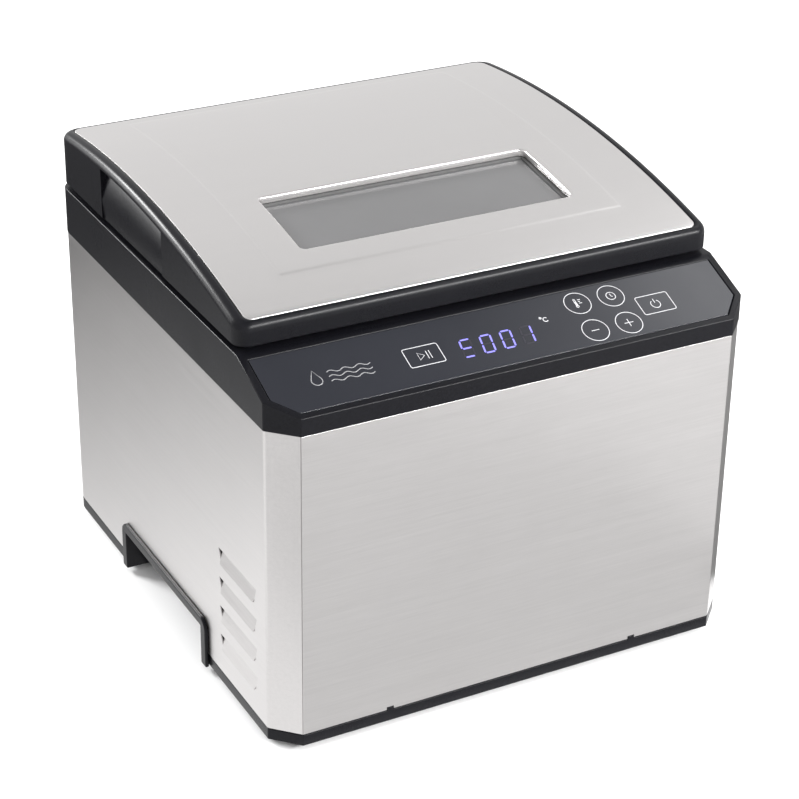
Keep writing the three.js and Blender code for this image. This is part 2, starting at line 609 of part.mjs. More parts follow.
function lidRim() {
  const wall = 3;
  const ledge = 2.2;
  const { side, front, back } = PANEL_INSET;
  const section = archProfile(0, 190, LID.front, LID.back, LID_ROLL.end);
  const dome = alongX(section, -LID.x, LID.x, LID_ROLL.side, 8);
  let rim = dome.intersect(slab(lidOutline(0), LID.bottom, 260));
  rim = rim.subtract(slab(lidOutline(wall), 200, 260).intersect(
    alongX(archProfile(6.5, 200, LID.front, LID.back), -LID.x, LID.x)));
  for (const end of [-1, 1]) {
    rim = rim.add(dome.intersect(
      sideBox(end, LID.x - GRIP.backing, LID.x - 1, GRIP.front - 3, GRIP.back + 3, LID.bottom, 260)));
    for (const y of LID_SCREW.ys) {
      const x = end * LID_SCREW.x;
      rim = rim.add(rod(3.4, [x, y, LINER.flange + LINER.sheet + 0.1], [x, y, archHeight(y) - 5], 10));
      rim = rim.subtract(rod(1.8, [x, y, 200], [x, y, LINER.flange + 9], 8));
    }
  }
  rim = rim.subtract(slab(lidOutline(side - GAP, front - GAP, back - GAP), 200, 260)
    .intersect(archLayer(-8, ledge, LID.x + 5)));
  rim = rim.subtract(slab(lidOutline(side + 5, front + 5, back + 5), 150, 280));
  return cut(rim, gripCutter(-1), gripCutter(1));
}
place(lid, 'lid_rim', lidRim(), MATERIALS.blackPlastic);

function lidTopPanel() {
  const { side, front, back } = PANEL_INSET;
  let panel = slab(lidOutline(side, front, back), 200, 260).intersect(archLayer(0, SHEET, LID.x));
  const { x, front: y0, back: y1 } = WINDOW;
  const collar = slab(rounded(-x - SHEET, x + SHEET, y0 - SHEET, y1 + SHEET, 4.8), 200, 260, 3)
    .intersect(archLayer(0.2, 3, LID.x));
  panel = panel.add(collar);
  return panel.subtract(slab(rounded(-x, x, y0, y1, 4), 200, 260, 3));
}
place(lid, 'lid_top_panel', lidTopPanel(), MATERIALS.steel);
place(lid, 'window_gasket', windowRing(3.9, 4.7, 5, 6.5), MATERIALS.silicone);
place(lid, 'window_glass',
  windowLayer(4.8, 7.8, WINDOW.front - 5, WINDOW.back + 5, WINDOW.x + 5), MATERIALS.windowGlass);
place(lid, 'window_clamp', windowRing(7.9, 9.9, 8, 11), MATERIALS.blackPlastic);

// The liner hangs from the rim, plugs the tank's mouth and rises again as a shaft up to the window.
function lidLiner() {
  const { x, front, back, floor, flange, sheet } = LINER;
  const outer = (grow) => rounded(-x - grow, x + grow, front - grow, back + grow, 14 + grow);
  let liner = slab(lidOutline(3.6), flange, flange + sheet).add(slab(outer(0), floor, flange + sheet));
  liner = liner.subtract(slab(outer(-sheet), floor + sheet, flange + 3));
  const shaft = (grow, low) => box(-WINDOW.x - grow, WINDOW.x + grow,
    WINDOW.front - grow, WINDOW.back + grow, low, 260);
  const underClamp = windowLayer(10.4, 60, WINDOW.front - 9, WINDOW.back + 9, WINDOW.x + 9);
  liner = liner.add(shaft(5, floor).intersect(underClamp)).subtract(shaft(5 - sheet, 200));
  for (const side of [-1, 1]) {
    liner = liner.subtract(sideBox(side, LID.x - GRIP.backing - GAP, LID.x,
      GRIP.front - 3 - GAP, GRIP.back + 3 + GAP, 200, 230));
    for (const y of LID_SCREW.ys) {
      liner = liner.subtract(rod(1.8, [side * LID_SCREW.x, y, 200], [side * LID_SCREW.x, y, 230], 8));
    }
  }
  return liner;
}
place(lid, 'lid_liner', lidLiner(), MATERIALS.tankSteel);
place(lid, 'lid_seal', slab(tankOutline(FLANGE_WIDTH - 1.5), FLANGE_TOP + GAP, LINER.flange - 0.05)
  .subtract(slab(tankOutline(FLANGE_WIDTH - 5.5), 0, 300)), MATERIALS.silicone);

for (const [side, x] of SIDES.map(([name, sign]) => [name, sign * LID_SCREW.x])) {
  LID_SCREW.ys.forEach((y, i) => {
    const head = LINER.flange - 0.05;
    place(lid, `lid_screw_${i === 0 ? 'front' : 'back'}_${side}`, turned([
      [0, head - 1.3], [2.8, head - 1.3], [2.8, head], [1.5, head], [1.5, head + 7], [0, head + 7],
    ], x, y, 10), MATERIALS.screw);
  });
}

// ---------------------------------------------------------------- rack
// A welded wire grid on four short legs keeps the bags off the heated floor.
const RACK = { x: 98, front: -62, back: 106, top: 74, wire: 2, bars: 11 };

function bottomRack() {
  const { x, front, back, top, wire, bars } = RACK;
  const sides = 8;
  let grid = union(
    rod(wire, [-x, front - 4, top], [-x, back + 4, top], sides),
    rod(wire, [x, front - 4, top], [x, back + 4, top], sides));
  for (let bar = 0; bar < bars; bar += 1) {
    const y = front + ((back - front) * bar) / (bars - 1);
    grid = grid.add(rod(wire * 0.75, [-x - 4, y, top + wire], [x + 4, y, top + wire], 6));
  }
  for (const side of [-1, 1]) {
    for (const y of [front + 16, back - 16]) {
      grid = grid.add(rod(wire, [side * x, y, TANK.bottom + GAP], [side * x, y, top], sides));
    }
  }
  return grid;
}
place(rack, 'bottom_rack', bottomRack(), MATERIALS.tankSteel);

export default machine;
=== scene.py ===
"""Looks of the countertop water bath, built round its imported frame."""

import json
import math

import bmesh
import bpy
from mathutils import Matrix, Vector


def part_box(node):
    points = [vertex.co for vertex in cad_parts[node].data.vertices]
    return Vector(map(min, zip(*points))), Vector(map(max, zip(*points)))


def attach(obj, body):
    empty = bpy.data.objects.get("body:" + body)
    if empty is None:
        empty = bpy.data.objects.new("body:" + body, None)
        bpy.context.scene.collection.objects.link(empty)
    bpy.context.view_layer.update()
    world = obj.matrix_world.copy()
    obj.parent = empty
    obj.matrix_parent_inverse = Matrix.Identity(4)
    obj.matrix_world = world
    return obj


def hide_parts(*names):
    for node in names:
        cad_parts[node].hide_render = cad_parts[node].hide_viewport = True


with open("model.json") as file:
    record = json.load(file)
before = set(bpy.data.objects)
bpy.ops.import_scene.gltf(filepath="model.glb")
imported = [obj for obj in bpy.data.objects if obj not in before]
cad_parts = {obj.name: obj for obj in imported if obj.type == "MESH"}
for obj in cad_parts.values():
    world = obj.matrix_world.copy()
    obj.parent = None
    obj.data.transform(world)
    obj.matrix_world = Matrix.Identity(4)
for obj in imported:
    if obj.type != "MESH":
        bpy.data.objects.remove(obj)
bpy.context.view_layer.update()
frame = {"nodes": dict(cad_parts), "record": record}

bl_info = {
    "name": "Water Bath Looks",
    "version": (1, 0, 0),
    "blender": (4, 5, 0),
    "location": "View3D > Sidebar > Water Bath",
    "description": "Builds the skins, printing, fastenings and finishes of a countertop water bath",
    "category": "Object",
}

MM = 0.001
HOUSING, LID, RACK = "housing", "lid", "rack"

# Housing, in millimetres. The frame's boxes are in metres.
HALF_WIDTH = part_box("top_frame")[1].x / MM
HALF_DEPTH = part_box("top_frame")[1].y / MM
FRAME_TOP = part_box("top_frame")[1].z / MM
FRAME_BOTTOM = 186.8
CHAMFER = 14.0
KNEE_Y = -100.8
DECK_SLOPE = 0.4
DECK_TILT = math.atan(DECK_SLOPE)
GLASS_DROP = 0.1
BEND_RADIUS = 3.2
CLADDING_INSET = 0.3
CLADDING_BOTTOM = 11.4
REAR_RADIUS = 11.0
REAR_LIP = 23.0
HOLD_CUT = (-51.3, 61.3, 29.8)
LOUVRE = {"front": -119.0, "back": -72.0, "lowest": 26.0, "pitch": 18.0, "height": 9.0, "taper": 3.4, "pivot": 2.8,
          "lean": 0.38, "count": 4}
HOLD_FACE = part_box("right_hand_hold")[1].x / MM

# Lid, in millimetres.
LID_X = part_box("lid_rim")[1].x / MM
LID_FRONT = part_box("lid_rim")[0].y / MM
LID_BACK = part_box("lid_rim")[1].y / MM
LID_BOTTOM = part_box("lid_rim")[0].z / MM
LID_CORNER = (8.0, 10.0)
ARCH_RADIUS = 651.5
ARCH_TOP = (66.6, 250.8)
PANEL_INSET = (6.5, 3.9, 3.7)
SHEET = 0.8
WINDOW = (81.0, -52.4, 1.5)
GRIP = {"front": -5.5, "back": 79.5, "low": 228.4, "ceiling": 4.8, "pocket": 3.2}


def arch(y, drop=0.0):
    """Height of the lid's arch at y, lowered by drop."""
    reach = ARCH_RADIUS - drop
    return ARCH_TOP[1] - ARCH_RADIUS + math.sqrt(reach ** 2 - (y - ARCH_TOP[0]) ** 2)


# ---------------------------------------------------------------- node trees


class Wire:
    """An output socket that adds Math nodes when it is used in Python arithmetic."""

    def __init__(self, bench, socket):
        self.bench = bench
        self.socket = socket

    def math(self, operation, *values):
        return self.bench.add("ShaderNodeMath", {"operation": operation}, dict(enumerate(values)))

    def __add__(self, other):
        return self.math("ADD", self, other)

    def __sub__(self, other):
        return self.math("SUBTRACT", self, other)

    def __rsub__(self, other):
        return self.math("SUBTRACT", other, self)

    def __mul__(self, other):
        return self.math("MULTIPLY", self, other)

    def __gt__(self, other):
        return self.math("GREATER_THAN", self, other)

    __radd__ = __add__
    __rmul__ = __mul__


class Bench:
    """A node tree under construction."""

    def __init__(self, tree):
        self.tree = tree
        tree.nodes.clear()

    def add(self, kind, settings=None, values=None, out=0):
        """Adds a node, sets it, feeds its sockets, and returns its output named or numbered out."""
        node = self.tree.nodes.new(kind)
        for key, value in (settings or {}).items():
            if key == "stops":
                self.set_stops(node.color_ramp, value)
            else:
                setattr(node, key, value)
        for key, value in (values or {}).items():
            self.feed(self.pick(node.inputs, key), value)
        return Wire(self, self.pick(node.outputs, out)) if len(node.outputs) else node

    @staticmethod
    def pick(sockets, key):
        live = [s for s in sockets if s.enabled]
        if isinstance(key, int):
            return live[key]
        return next(s for s in live if s.name == key)

    @staticmethod
    def set_stops(ramp, stops):
        while len(ramp.elements) < len(stops):
            ramp.elements.new(0.5)
        for element, (place, colour) in zip(ramp.elements, stops):
            element.position = place
            element.color = (*colour, 1.0)

    def feed(self, socket, value):
        if isinstance(value, Wire):
            self.tree.links.new(value.socket, socket)
        elif socket.type == "RGBA" and len(value) == 3:
            socket.default_value = (*value, 1.0)
        else:
            socket.default_value = value


class Finish(Bench):
    """A material's node tree: a Principled shader and what varies over the surface."""

    def __init__(self, name):
        self.material = bpy.data.materials.new(name)
        self.material.use_nodes = True
        super().__init__(self.material.node_tree)
        self.place = self.add("ShaderNodeTexCoord", out="Object")

    def stretched(self, scale):
        return self.add("ShaderNodeMapping", values={"Vector": self.place, "Scale": scale})

    def noise(self, scale, detail=2.0, roughness=0.5, vector=None):
        return self.add("ShaderNodeTexNoise", values={
            "Vector": vector or self.place, "Scale": scale, "Detail": detail, "Roughness": roughness})

    def between(self, factor, low, high):
        """A colour from low to high as factor goes from 0 to 1."""
        return self.add("ShaderNodeMix", {"data_type": "RGBA"}, {"Factor": factor, "A": low, "B": high})

    def spread(self, value, low, high):
        """A number from low to high as value goes from 0.3 to 0.7."""
        return self.add("ShaderNodeMapRange", values={
            "Value": value, "From Min": 0.3, "From Max": 0.7, "To Min": low, "To Max": high})

    def bump(self, height, microns, strength=1.0):
        return self.add("ShaderNodeBump", values={
            "Height": height, "Distance": microns * 1e-6, "Strength": strength})

    def shaded(self, **sockets):
        """Ends the tree in a Principled shader fed with the named sockets."""
        values = {key.replace("_", " "): value for key, value in sockets.items()}
        shader = self.add("ShaderNodeBsdfPrincipled", values=values)
        self.add("ShaderNodeOutputMaterial", values={"Surface": shader})
        return self.material


# ---------------------------------------------------------------- finishes


def scaled(colour, factor):
    return tuple(min(1.0, channel * factor) for channel in colour)


def brushed_steel(name, colour, along, roughness=0.32, contrast=0.06, lines=7.0):
    """Stainless sheet whose brush lines run along axis 0, 1 or 2."""
    f = Finish(name)
    coarse = [700.0] * 3
    coarse[along] = 9.0
    fine = [2600.0] * 3
    fine[along] = 70.0
    streaks = f.noise(1.0, 3.0, 0.6, f.stretched(coarse))
    hairs = f.noise(1.0, 2.0, 0.6, f.stretched(fine))
    clouds = f.noise(14.0, 2.0)
    tone = streaks * 0.45 + hairs * 0.4 + clouds * 0.15
    return f.shaded(
        Base_Color=f.between(f.spread(tone, 0.0, 1.0), scaled(colour, 1 - contrast), scaled(colour, 1 + contrast)),
        Metallic=1.0,
        Roughness=f.spread(streaks * 0.5 + hairs * 0.5, roughness - 0.04, roughness + 0.07),
        Normal=f.bump(streaks * 0.4 + hairs * 0.6, lines))


def drawn_steel(name, colour):
    """Bright deep-drawn stainless steel with faint draw marks and water haze."""
    f = Finish(name)
    haze = f.noise(22.0, 4.0, 0.6)
    marks = f.noise(1.0, 3.0, 0.5, f.stretched((260.0, 260.0, 12.0)))
    return f.shaded(
        Base_Color=f.between(f.spread(haze, 0.0, 1.0), scaled(colour, 0.97), scaled(colour, 1.02)),
        Metallic=1.0,
        Roughness=f.spread(haze * 0.6 + marks * 0.4, 0.3, 0.34),
        Normal=f.bump(marks, 0.4))


def satin_moulding(name, colour, roughness=0.3, grain=7.0, specular=0.15):
    """Injection-moulded plastic with a fine spark-eroded grain."""
    f = Finish(name)
    pits = f.noise(1500.0, 3.0, 0.65)
    sparkle = f.noise(3800.0, 1.0)
    wear = f.noise(30.0, 3.0)
    return f.shaded(
        Base_Color=f.between(f.spread(pits, 0.0, 1.0), scaled(colour, 0.7), scaled(colour, 1.5)),
        Roughness=f.spread(sparkle * 0.5 + wear * 0.5, roughness - 0.07, roughness + 0.07),
        Normal=f.bump(pits * 0.7 + sparkle * 0.3, grain),
        Specular_IOR_Level=specular)


def gloss_panel(name, colour):
    """Back-painted gloss panel: a tinted face under a clear hard coat."""
    f = Finish(name)
    depth = f.noise(9.0, 2.0)
    smear = f.noise(26.0, 3.0, 0.6)
    return f.shaded(
        Base_Color=f.between(f.spread(depth, 0.0, 1.0), scaled(colour, 0.92), scaled(colour, 1.08)),
        Roughness=f.spread(smear, 0.14, 0.2),
        Specular_IOR_Level=0.35)


def smoked_glass(name, colour, alpha):
    """Toughened glass with a grey tint."""
    f = Finish(name)
    smear = f.noise(30.0, 3.0, 0.6)
    tint = f.noise(6.0)
    return f.shaded(
        Base_Color=f.between(f.spread(tint, 0.0, 1.0), scaled(colour, 0.96), scaled(colour, 1.04)),
        Roughness=f.spread(smear, 0.07, 0.13),
        Alpha=f.spread(smear, alpha + 0.02, alpha - 0.02),
        Normal=f.bump(tint, 30.0, 0.2))


def printed_ink(name, colour):
    """Screen-printed ink with a slightly uneven film."""
    f = Finish(name)
    film = f.noise(2200.0, 2.0)
    return f.shaded(
        Base_Color=f.between(f.spread(film, 0.0, 1.0), scaled(colour, 0.92), colour),
        Roughness=f.spread(film, 0.4, 0.55),
        Normal=f.bump(film, 4.0))


def lit_segment(name, colour, strength):
    """A display segment behind the panel, brighter in its middle. Given a dark colour, as for the unlit segments, its
    faint emission is a painted glow.
    """
    f = Finish(name)
    glow = f.noise(900.0, 1.0)
    return f.shaded(
        Base_Color=scaled(colour, 0.4),
        Roughness=f.spread(glow, 0.3, 0.36),
        Emission_Color=f.between(f.spread(glow, 0.0, 1.0), scaled(colour, 0.88), colour),
        Emission_Strength=strength)


def soft_rubber(name, colour):
    """Moulded rubber or silicone, matt with a faint bloom."""
    f = Finish(name)
    bloom = f.noise(120.0, 4.0, 0.6)
    skin = f.noise(1800.0, 2.0)
    return f.shaded(
        Base_Color=f.between(f.spread(bloom, 0.0, 1.0), scaled(colour, 0.85), scaled(colour, 1.2)),
        Roughness=f.spread(bloom, 0.7, 0.85),
        Normal=f.bump(skin, 12.0))


def solder_mask(name, colour):
    """A circuit board's mask with copper runs under it."""
    f = Finish(name)
    cells = f.add("ShaderNodeTexVoronoi", {"distance": "MANHATTAN", "feature": "F1"},
                  {"Vector": f.place, "Scale": 230.0}, "Distance")
    runs = f.add("ShaderNodeTexVoronoi", {"distance": "CHEBYCHEV", "feature": "DISTANCE_TO_EDGE"},
                 {"Vector": f.place, "Scale": 160.0}, "Distance")
    pads = cells > 0.82
    tracks = runs > 0.09
    ground = f.between(tracks, scaled(colour, 1.8), colour)
    return f.shaded(
        Base_Color=f.between(pads, ground, (0.5, 0.5, 0.48)),
        Roughness=f.spread(runs, 0.3, 0.42),
        Normal=f.bump(tracks, 30.0, 0.5))


def mill_aluminium(name, colour):
    """Extruded or cast aluminium with faint die lines."""
    f = Finish(name)
    lines = f.noise(1.0, 3.0, 0.5, f.stretched((900.0, 900.0, 16.0)))
    haze = f.noise(60.0, 3.0)
    return f.shaded(
        Base_Color=f.between(f.spread(haze, 0.0, 1.0), scaled(colour, 0.9), scaled(colour, 1.08)),
        Metallic=1.0,
        Roughness=f.spread(lines * 0.5 + haze * 0.5, 0.34, 0.5),
        Normal=f.bump(lines, 9.0))


def glass_wool(name, colour):
    """Felted insulation: loose crossing fibres."""
    f = Finish(name)
    fibres = f.noise(1.0, 5.0, 0.75, f.stretched((420.0, 1400.0, 900.0)))
    tufts = f.noise(150.0, 4.0, 0.7)
    return f.shaded(
        Base_Color=f.between(f.spread(fibres * 0.6 + tufts * 0.4, 0.0, 1.0), scaled(colour, 0.72), scaled(colour, 1.2)),
        Roughness=f.spread(tufts, 0.85, 0.98),
        Normal=f.bump(fibres * 0.5 + tufts * 0.5, 500.0))


def plated_steel(name, colour):
    """Zinc-plated fasteners, a little mottled."""
    f = Finish(name)
    mottle = f.noise(700.0, 3.0)
    return f.shaded(
        Base_Color=f.between(f.spread(mottle, 0.0, 1.0), scaled(colour, 0.85), scaled(colour, 1.1)),
        Metallic=1.0,
        Roughness=f.spread(mottle, 0.22, 0.36),
        Normal=f.bump(mottle, 5.0))


def film_case(name, colour):
    """A film capacitor's dipped case."""
    f = Finish(name)
    dip = f.noise(160.0, 3.0)
    return f.shaded(
        Base_Color=f.between(f.spread(dip, 0.0, 1.0), scaled(colour, 0.85), scaled(colour, 1.12)),
        Roughness=f.spread(dip, 0.25, 0.4),
        Normal=f.bump(dip, 40.0))


def studio_sweep(name, colour):
    """The pale paper that the object stands on."""
    f = Finish(name)
    tooth = f.noise(300.0, 3.0)
    return f.shaded(
        Base_Color=f.between(f.spread(tooth, 0.0, 1.0), scaled(colour, 0.995), colour),
        Roughness=0.8,
        Normal=f.bump(tooth, 10.0))


def glowing_card(name, shades):
    """A card whose brightness changes from front to back, whatever light falls on it.

    shades are (metres along Y, brightness) pairs."""
    f = Finish(name)
    first, last = shades[0][0], shades[-1][0]
    along = f.add("ShaderNodeSeparateXYZ", values={"Vector": f.place}, out="Y")
    glow = f.add("ShaderNodeMapRange", values={"Value": along, "From Min": first, "From Max": last})
    top = max(shade for _, shade in shades)
    stops = [((y - first) / (last - first), (shade / top,) * 3) for y, shade in shades]
    return f.shaded(Base_Color=(0.0, 0.0, 0.0), Roughness=1.0, Specular_IOR_Level=0.0,
                    Emission_Color=f.add("ShaderNodeValToRGB", {"stops": stops}, {"Fac": glow}),
                    Emission_Strength=top)


def make_finishes(colours):
    """Every finish by the record's slot, with the brush direction after a colon where it has one."""
    steel = tuple(colours.steel)
    black = tuple(colours.moulding)
    return {
        "brushed_steel:x": brushed_steel("Steel brushed across", steel, 0),
        "brushed_steel:y": brushed_steel("Steel brushed front to back", steel, 1),
        "brushed_steel:lid": brushed_steel("Lid steel", scaled(steel, 1.04), 0, 0.36, 0.02, 3.0),
        "black_plastic": satin_moulding("Black moulding", black),
        "tank_steel": drawn_steel("Drawn tank steel", scaled(steel, 1.08)),
        "control_glass": gloss_panel("Control panel", tuple(colours.panel)),
        "window_glass": smoked_glass("Window glass", tuple(colours.window), 0.9),
        "rubber": soft_rubber("Foot rubber", (0.02, 0.02, 0.02)),
        "silicone": soft_rubber("Seal silicone", (0.10, 0.10, 0.10)),
        "circuit_board": solder_mask("Solder mask", (0.015, 0.11, 0.045)),
        "dark_moulding": satin_moulding("Dark moulding", (0.02, 0.02, 0.022), 0.5, 12.0),
        "capacitor_case": film_case("Capacitor case", (0.5, 0.36, 0.06)),
        "aluminium": mill_aluminium("Mill aluminium", (0.62, 0.63, 0.64)),
        "insulation": glass_wool("Glass wool", (0.62, 0.58, 0.44)),
        "fastener_steel": plated_steel("Plated steel", (0.62, 0.62, 0.62)),
        "wire_insulation": soft_rubber("Wire insulation", (0.35, 0.03, 0.02)),
        "ink": printed_ink("Panel ink", tuple(colours.ink)),
        "ink_grey": printed_ink("Panel ink, grey", scaled(tuple(colours.ink), 0.45)),
        "segment_lit": lit_segment("Lit segment", tuple(colours.display), 1.0),
        # The unlit segments' faint emission is a painted glow: they give no light of their own.
        "segment_dark": lit_segment("Unlit segment", (0.014, 0.013, 0.022), 1.0),
    }


FINISHES = {}


# ---------------------------------------------------------------- meshes


def settle(mesh, angle=35.0):
    """Smooth shading with creases past angle."""
    mesh.shade_smooth()
    mesh.set_sharp_from_angle(angle=math.radians(angle))
    return mesh


def from_bmesh(name, bm, angle=35.0, outwards=True):
    if outwards:
        bmesh.ops.recalc_face_normals(bm, faces=bm.faces)
    mesh = bpy.data.meshes.new(name)
    bm.to_mesh(mesh)
    bm.free()
    return settle(mesh, angle)


def piece(name, mesh, finish, body, slot, *nodes):
    """Puts a finished mesh in the scene on its body, in place of the CAD nodes named."""
    mesh.materials.clear()
    mesh.materials.append(FINISHES[finish])
    obj = bpy.data.objects.new(name, mesh)
    bpy.context.scene.collection.objects.link(obj)
    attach(obj, body)
    if nodes:
        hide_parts(*nodes)
    return obj


def evaluated_mesh(obj):
    """The object's mesh with its modifiers worked in; the object is removed."""
    bpy.context.view_layer.update()
    graph = bpy.context.evaluated_depsgraph_get()
    mesh = bpy.data.meshes.new_from_object(obj.evaluated_get(graph))
    obj.modifiers.clear()
    bpy.data.objects.remove(obj)
    return mesh


def evened(name, mesh):
    """The mesh with normals led by its large faces, so that flats look flat up to their rounded edges."""
    obj = bpy.data.objects.new(name + "_even", mesh)
    bpy.context.scene.collection.objects.link(obj)
    lead = obj.modifiers.new("Normals", "WEIGHTED_NORMAL")
    lead.keep_sharp = True
    lead.weight = 100
    return evaluated_mesh(obj)


def merge_flats(bm, passes=4):
    """Joins level neighbours into larger faces, a pair at a time, as long as each stays convex."""
    limit = math.radians(0.5)

    def corner(face, vert):
        return next(loop.calc_angle() for loop in face.loops if loop.vert is vert)

    for _ in range(passes):
        joined = False
        for edge in list(bm.edges):
            if not edge.is_valid or len(edge.link_faces) != 2:
                continue
            a, b = edge.link_faces
            shared = set(a.verts) & set(b.verts)
            if a.normal.angle(b.normal, 9.0) > limit or len(shared) != 2:
                continue
            if any(corner(a, v) + corner(b, v) > math.pi + 0.002 for v in edge.verts):
                continue
            face = bmesh.utils.face_join((a, b))
            if face:
                face.normal_update()
                joined = True
        if not joined:
            break


def softened(node, width, segments=2, widths=None, angle=28.0, crease=35.0):
    """A copy of a CAD node's mesh with its edges rounded.

    widths(edge) may give an edge its own width in millimetres; None leaves it to the angle test."""
    bm = bmesh.new()
    bm.from_mesh(frame["nodes"][node].data)
    bmesh.ops.remove_doubles(bm, verts=bm.verts, dist=2e-6)
    merge_flats(bm)
    weight = bm.edges.layers.float.new("bevel_weight_edge")
    widest = 0.0
    chosen = []
    for edge in bm.edges:
        own = widths(edge) if widths else None
        if own is None:
            sharp = edge.is_manifold and edge.calc_face_angle(0.0) > math.radians(angle)
            own = width if sharp else 0.0
        chosen.append((edge, own))
        widest = max(widest, own)
    for edge, own in chosen:
        edge[weight] = own / widest
    mesh = bpy.data.meshes.new(node + "_soft")
    bm.to_mesh(mesh)
    bm.free()
    obj = bpy.data.objects.new(node + "_soft", mesh)
    bpy.context.scene.collection.objects.link(obj)
    bevel = obj.modifiers.new("Edges", "BEVEL")
    bevel.limit_method = "WEIGHT"
    bevel.width = widest * MM
    bevel.segments = segments
    bevel.use_clamp_overlap = False
    bevel.miter_outer = "MITER_ARC"
    return evened(node, settle(evaluated_mesh(obj), crease))


def rounded_loop(x0, x1, y0, y1, front_radius, back_radius, right=(), across=24, arc=6):
    """Points round a rectangle with rounded corners, in the same order and number for any size.

    right holds the stations along the right side, from 0 at its front to 1 at its back."""
    points = []

    def turn(cx, cy, radius, start):
        for step in range(arc + 1):
            a = math.radians(start + 90.0 * step / arc)
            points.append((cx + radius * math.cos(a), cy + radius * math.sin(a)))

    turn(x1 - front_radius, y0 + front_radius, front_radius, 270.0)
    low, high = y0 + front_radius, y1 - back_radius
    points.extend((x1, low + (high - low) * t) for t in right)
    turn(x1 - back_radius, y1 - back_radius, back_radius, 0.0)
    left, far = x0 + back_radius, x1 - back_radius
    points.extend((far + (left - far) * step / across, y1) for step in range(1, across))
    turn(x0 + back_radius, y1 - back_radius, back_radius, 90.0)
    points.extend((x0, low + (high - low) * t) for t in reversed(right))
    turn(x0 + front_radius, y0 + front_radius, front_radius, 180.0)
    left, far = x0 + front_radius, x1 - front_radius
    points.extend((left + (far - left) * step / across, y0) for step in range(1, across))
    return points


def loft(name, loops, angle=35.0):
    """A closed skin through a ring of closed loops with equal numbers of points."""
    bm = bmesh.new()
    rows = [[bm.verts.new(Vector(p) * MM) for p in loop] for loop in loops]
    count = len(rows[0])
    for i, row in enumerate(rows):
        after = rows[(i + 1) % len(rows)]
        for j in range(count):
            k = (j + 1) % count
            bm.faces.new((row[j], row[k], after[k], after[j]))
    bmesh.ops.remove_doubles(bm, verts=bm.verts, dist=1e-6)
    bmesh.ops.dissolve_degenerate(bm, edges=bm.edges, dist=1e-6)
    return from_bmesh(name, bm, angle)


def turned(name, profile, sides=32, dent=None):
    """Turns an (r, z) profile, from the axis at its top to the axis at its bottom, about +Z."""
    bm = bmesh.new()
    rows = []
    for radius, z in profile:
        if radius == 0:
            rows.append([bm.verts.new((0, 0, (z - (dent(0, 0) if dent else 0)) * MM))])
            continue
        row = []
        for step in range(sides):
            a = 2 * math.pi * step / sides
            x, y = radius * math.cos(a), radius * math.sin(a)
            row.append(bm.verts.new((x * MM, y * MM, (z - (dent(x, y) if dent and z > 0 else 0)) * MM)))
        rows.append(row)
    for upper, lower in zip(rows, rows[1:]):
        for step in range(sides):
            k = (step + 1) % sides
            if len(upper) == 1:
                bm.faces.new((upper[0], lower[step], lower[k]))
            elif len(lower) == 1:
                bm.faces.new((upper[step], lower[0], upper[k]))
            else:
                bm.faces.new((upper[step], lower[step], lower[k], upper[k]))
    return from_bmesh(name, bm)


# ---------------------------------------------------------------- geometry trees


def open_tree(name, inputs):
    """A geometry tree with named inputs; returns its bench and a wire for each input."""
    tree = bpy.data.node_groups.new(name, "GeometryNodeTree")
    bench = Bench(tree)
    for label, kind in [("Geometry", "NodeSocketGeometry"), *inputs]:
        tree.interface.new_socket(name=label, in_out="INPUT", socket_type=kind)
    tree.interface.new_socket(name="Geometry", in_out="OUTPUT", socket_type="NodeSocketGeometry")
    entry = tree.nodes.new("NodeGroupInput")
    wires = {s.name: Wire(bench, s) for s in entry.outputs if s.name}
    return bench, wires


def close_tree(bench, geometry, finish):
    real = bench.add("GeometryNodeRealizeInstances", values={"Geometry": geometry})
    dressed = bench.add("GeometryNodeSetMaterial", values={"Geometry": real, "Material": finish})
    bench.add("NodeGroupOutput", values={"Geometry": dressed})
    return bench.tree


def scatter_tree():
    """One copy of a shape at each point, aimed by the point and spun at random about its own axis."""
    bench, wires = open_tree("Repeated fittings", [
        ("Shape", "NodeSocketObject"), ("Size", "NodeSocketFloat"), ("Spin", "NodeSocketFloat"),
        ("Seed", "NodeSocketInt"), ("Finish", "NodeSocketMaterial")])
    shape = bench.add("GeometryNodeObjectInfo", values={"Object": wires["Shape"]}, out="Geometry")
    aim = bench.add("GeometryNodeInputNamedAttribute", {"data_type": "FLOAT_VECTOR"}, {"Name": "aim"})
    spin = bench.add("FunctionNodeRandomValue", {"data_type": "FLOAT"},
                     {"Min": 0.0, "Max": wires["Spin"], "Seed": wires["Seed"]})
    about = bench.add("ShaderNodeCombineXYZ", values={"Z": spin})
    turned_aim = bench.add("FunctionNodeRotateRotation", {"rotation_space": "LOCAL"},
                           {"Rotation": aim, "Rotate By": about})
    copies = bench.add("GeometryNodeInstanceOnPoints", values={
        "Points": wires["Geometry"], "Instance": shape, "Rotation": turned_aim, "Scale": wires["Size"]})
    return close_tree(bench, copies, wires["Finish"])


def round_wire_tree():
    """Round wire along each edge of a mesh."""
    bench, wires = open_tree("Round wire", [
        ("Radius", "NodeSocketFloat"), ("Sides", "NodeSocketInt"), ("Finish", "NodeSocketMaterial")])
    path = bench.add("GeometryNodeMeshToCurve", values={"Mesh": wires["Geometry"]})
    ring = bench.add("GeometryNodeCurvePrimitiveCircle", values={
        "Resolution": wires["Sides"], "Radius": wires["Radius"]})
    skin = bench.add("GeometryNodeCurveToMesh", values={
        "Curve": path, "Profile Curve": ring, "Fill Caps": True})
    smooth = bench.add("GeometryNodeSetShadeSmooth", values={0: skin, "Shade Smooth": True})
    return close_tree(bench, smooth, wires["Finish"])


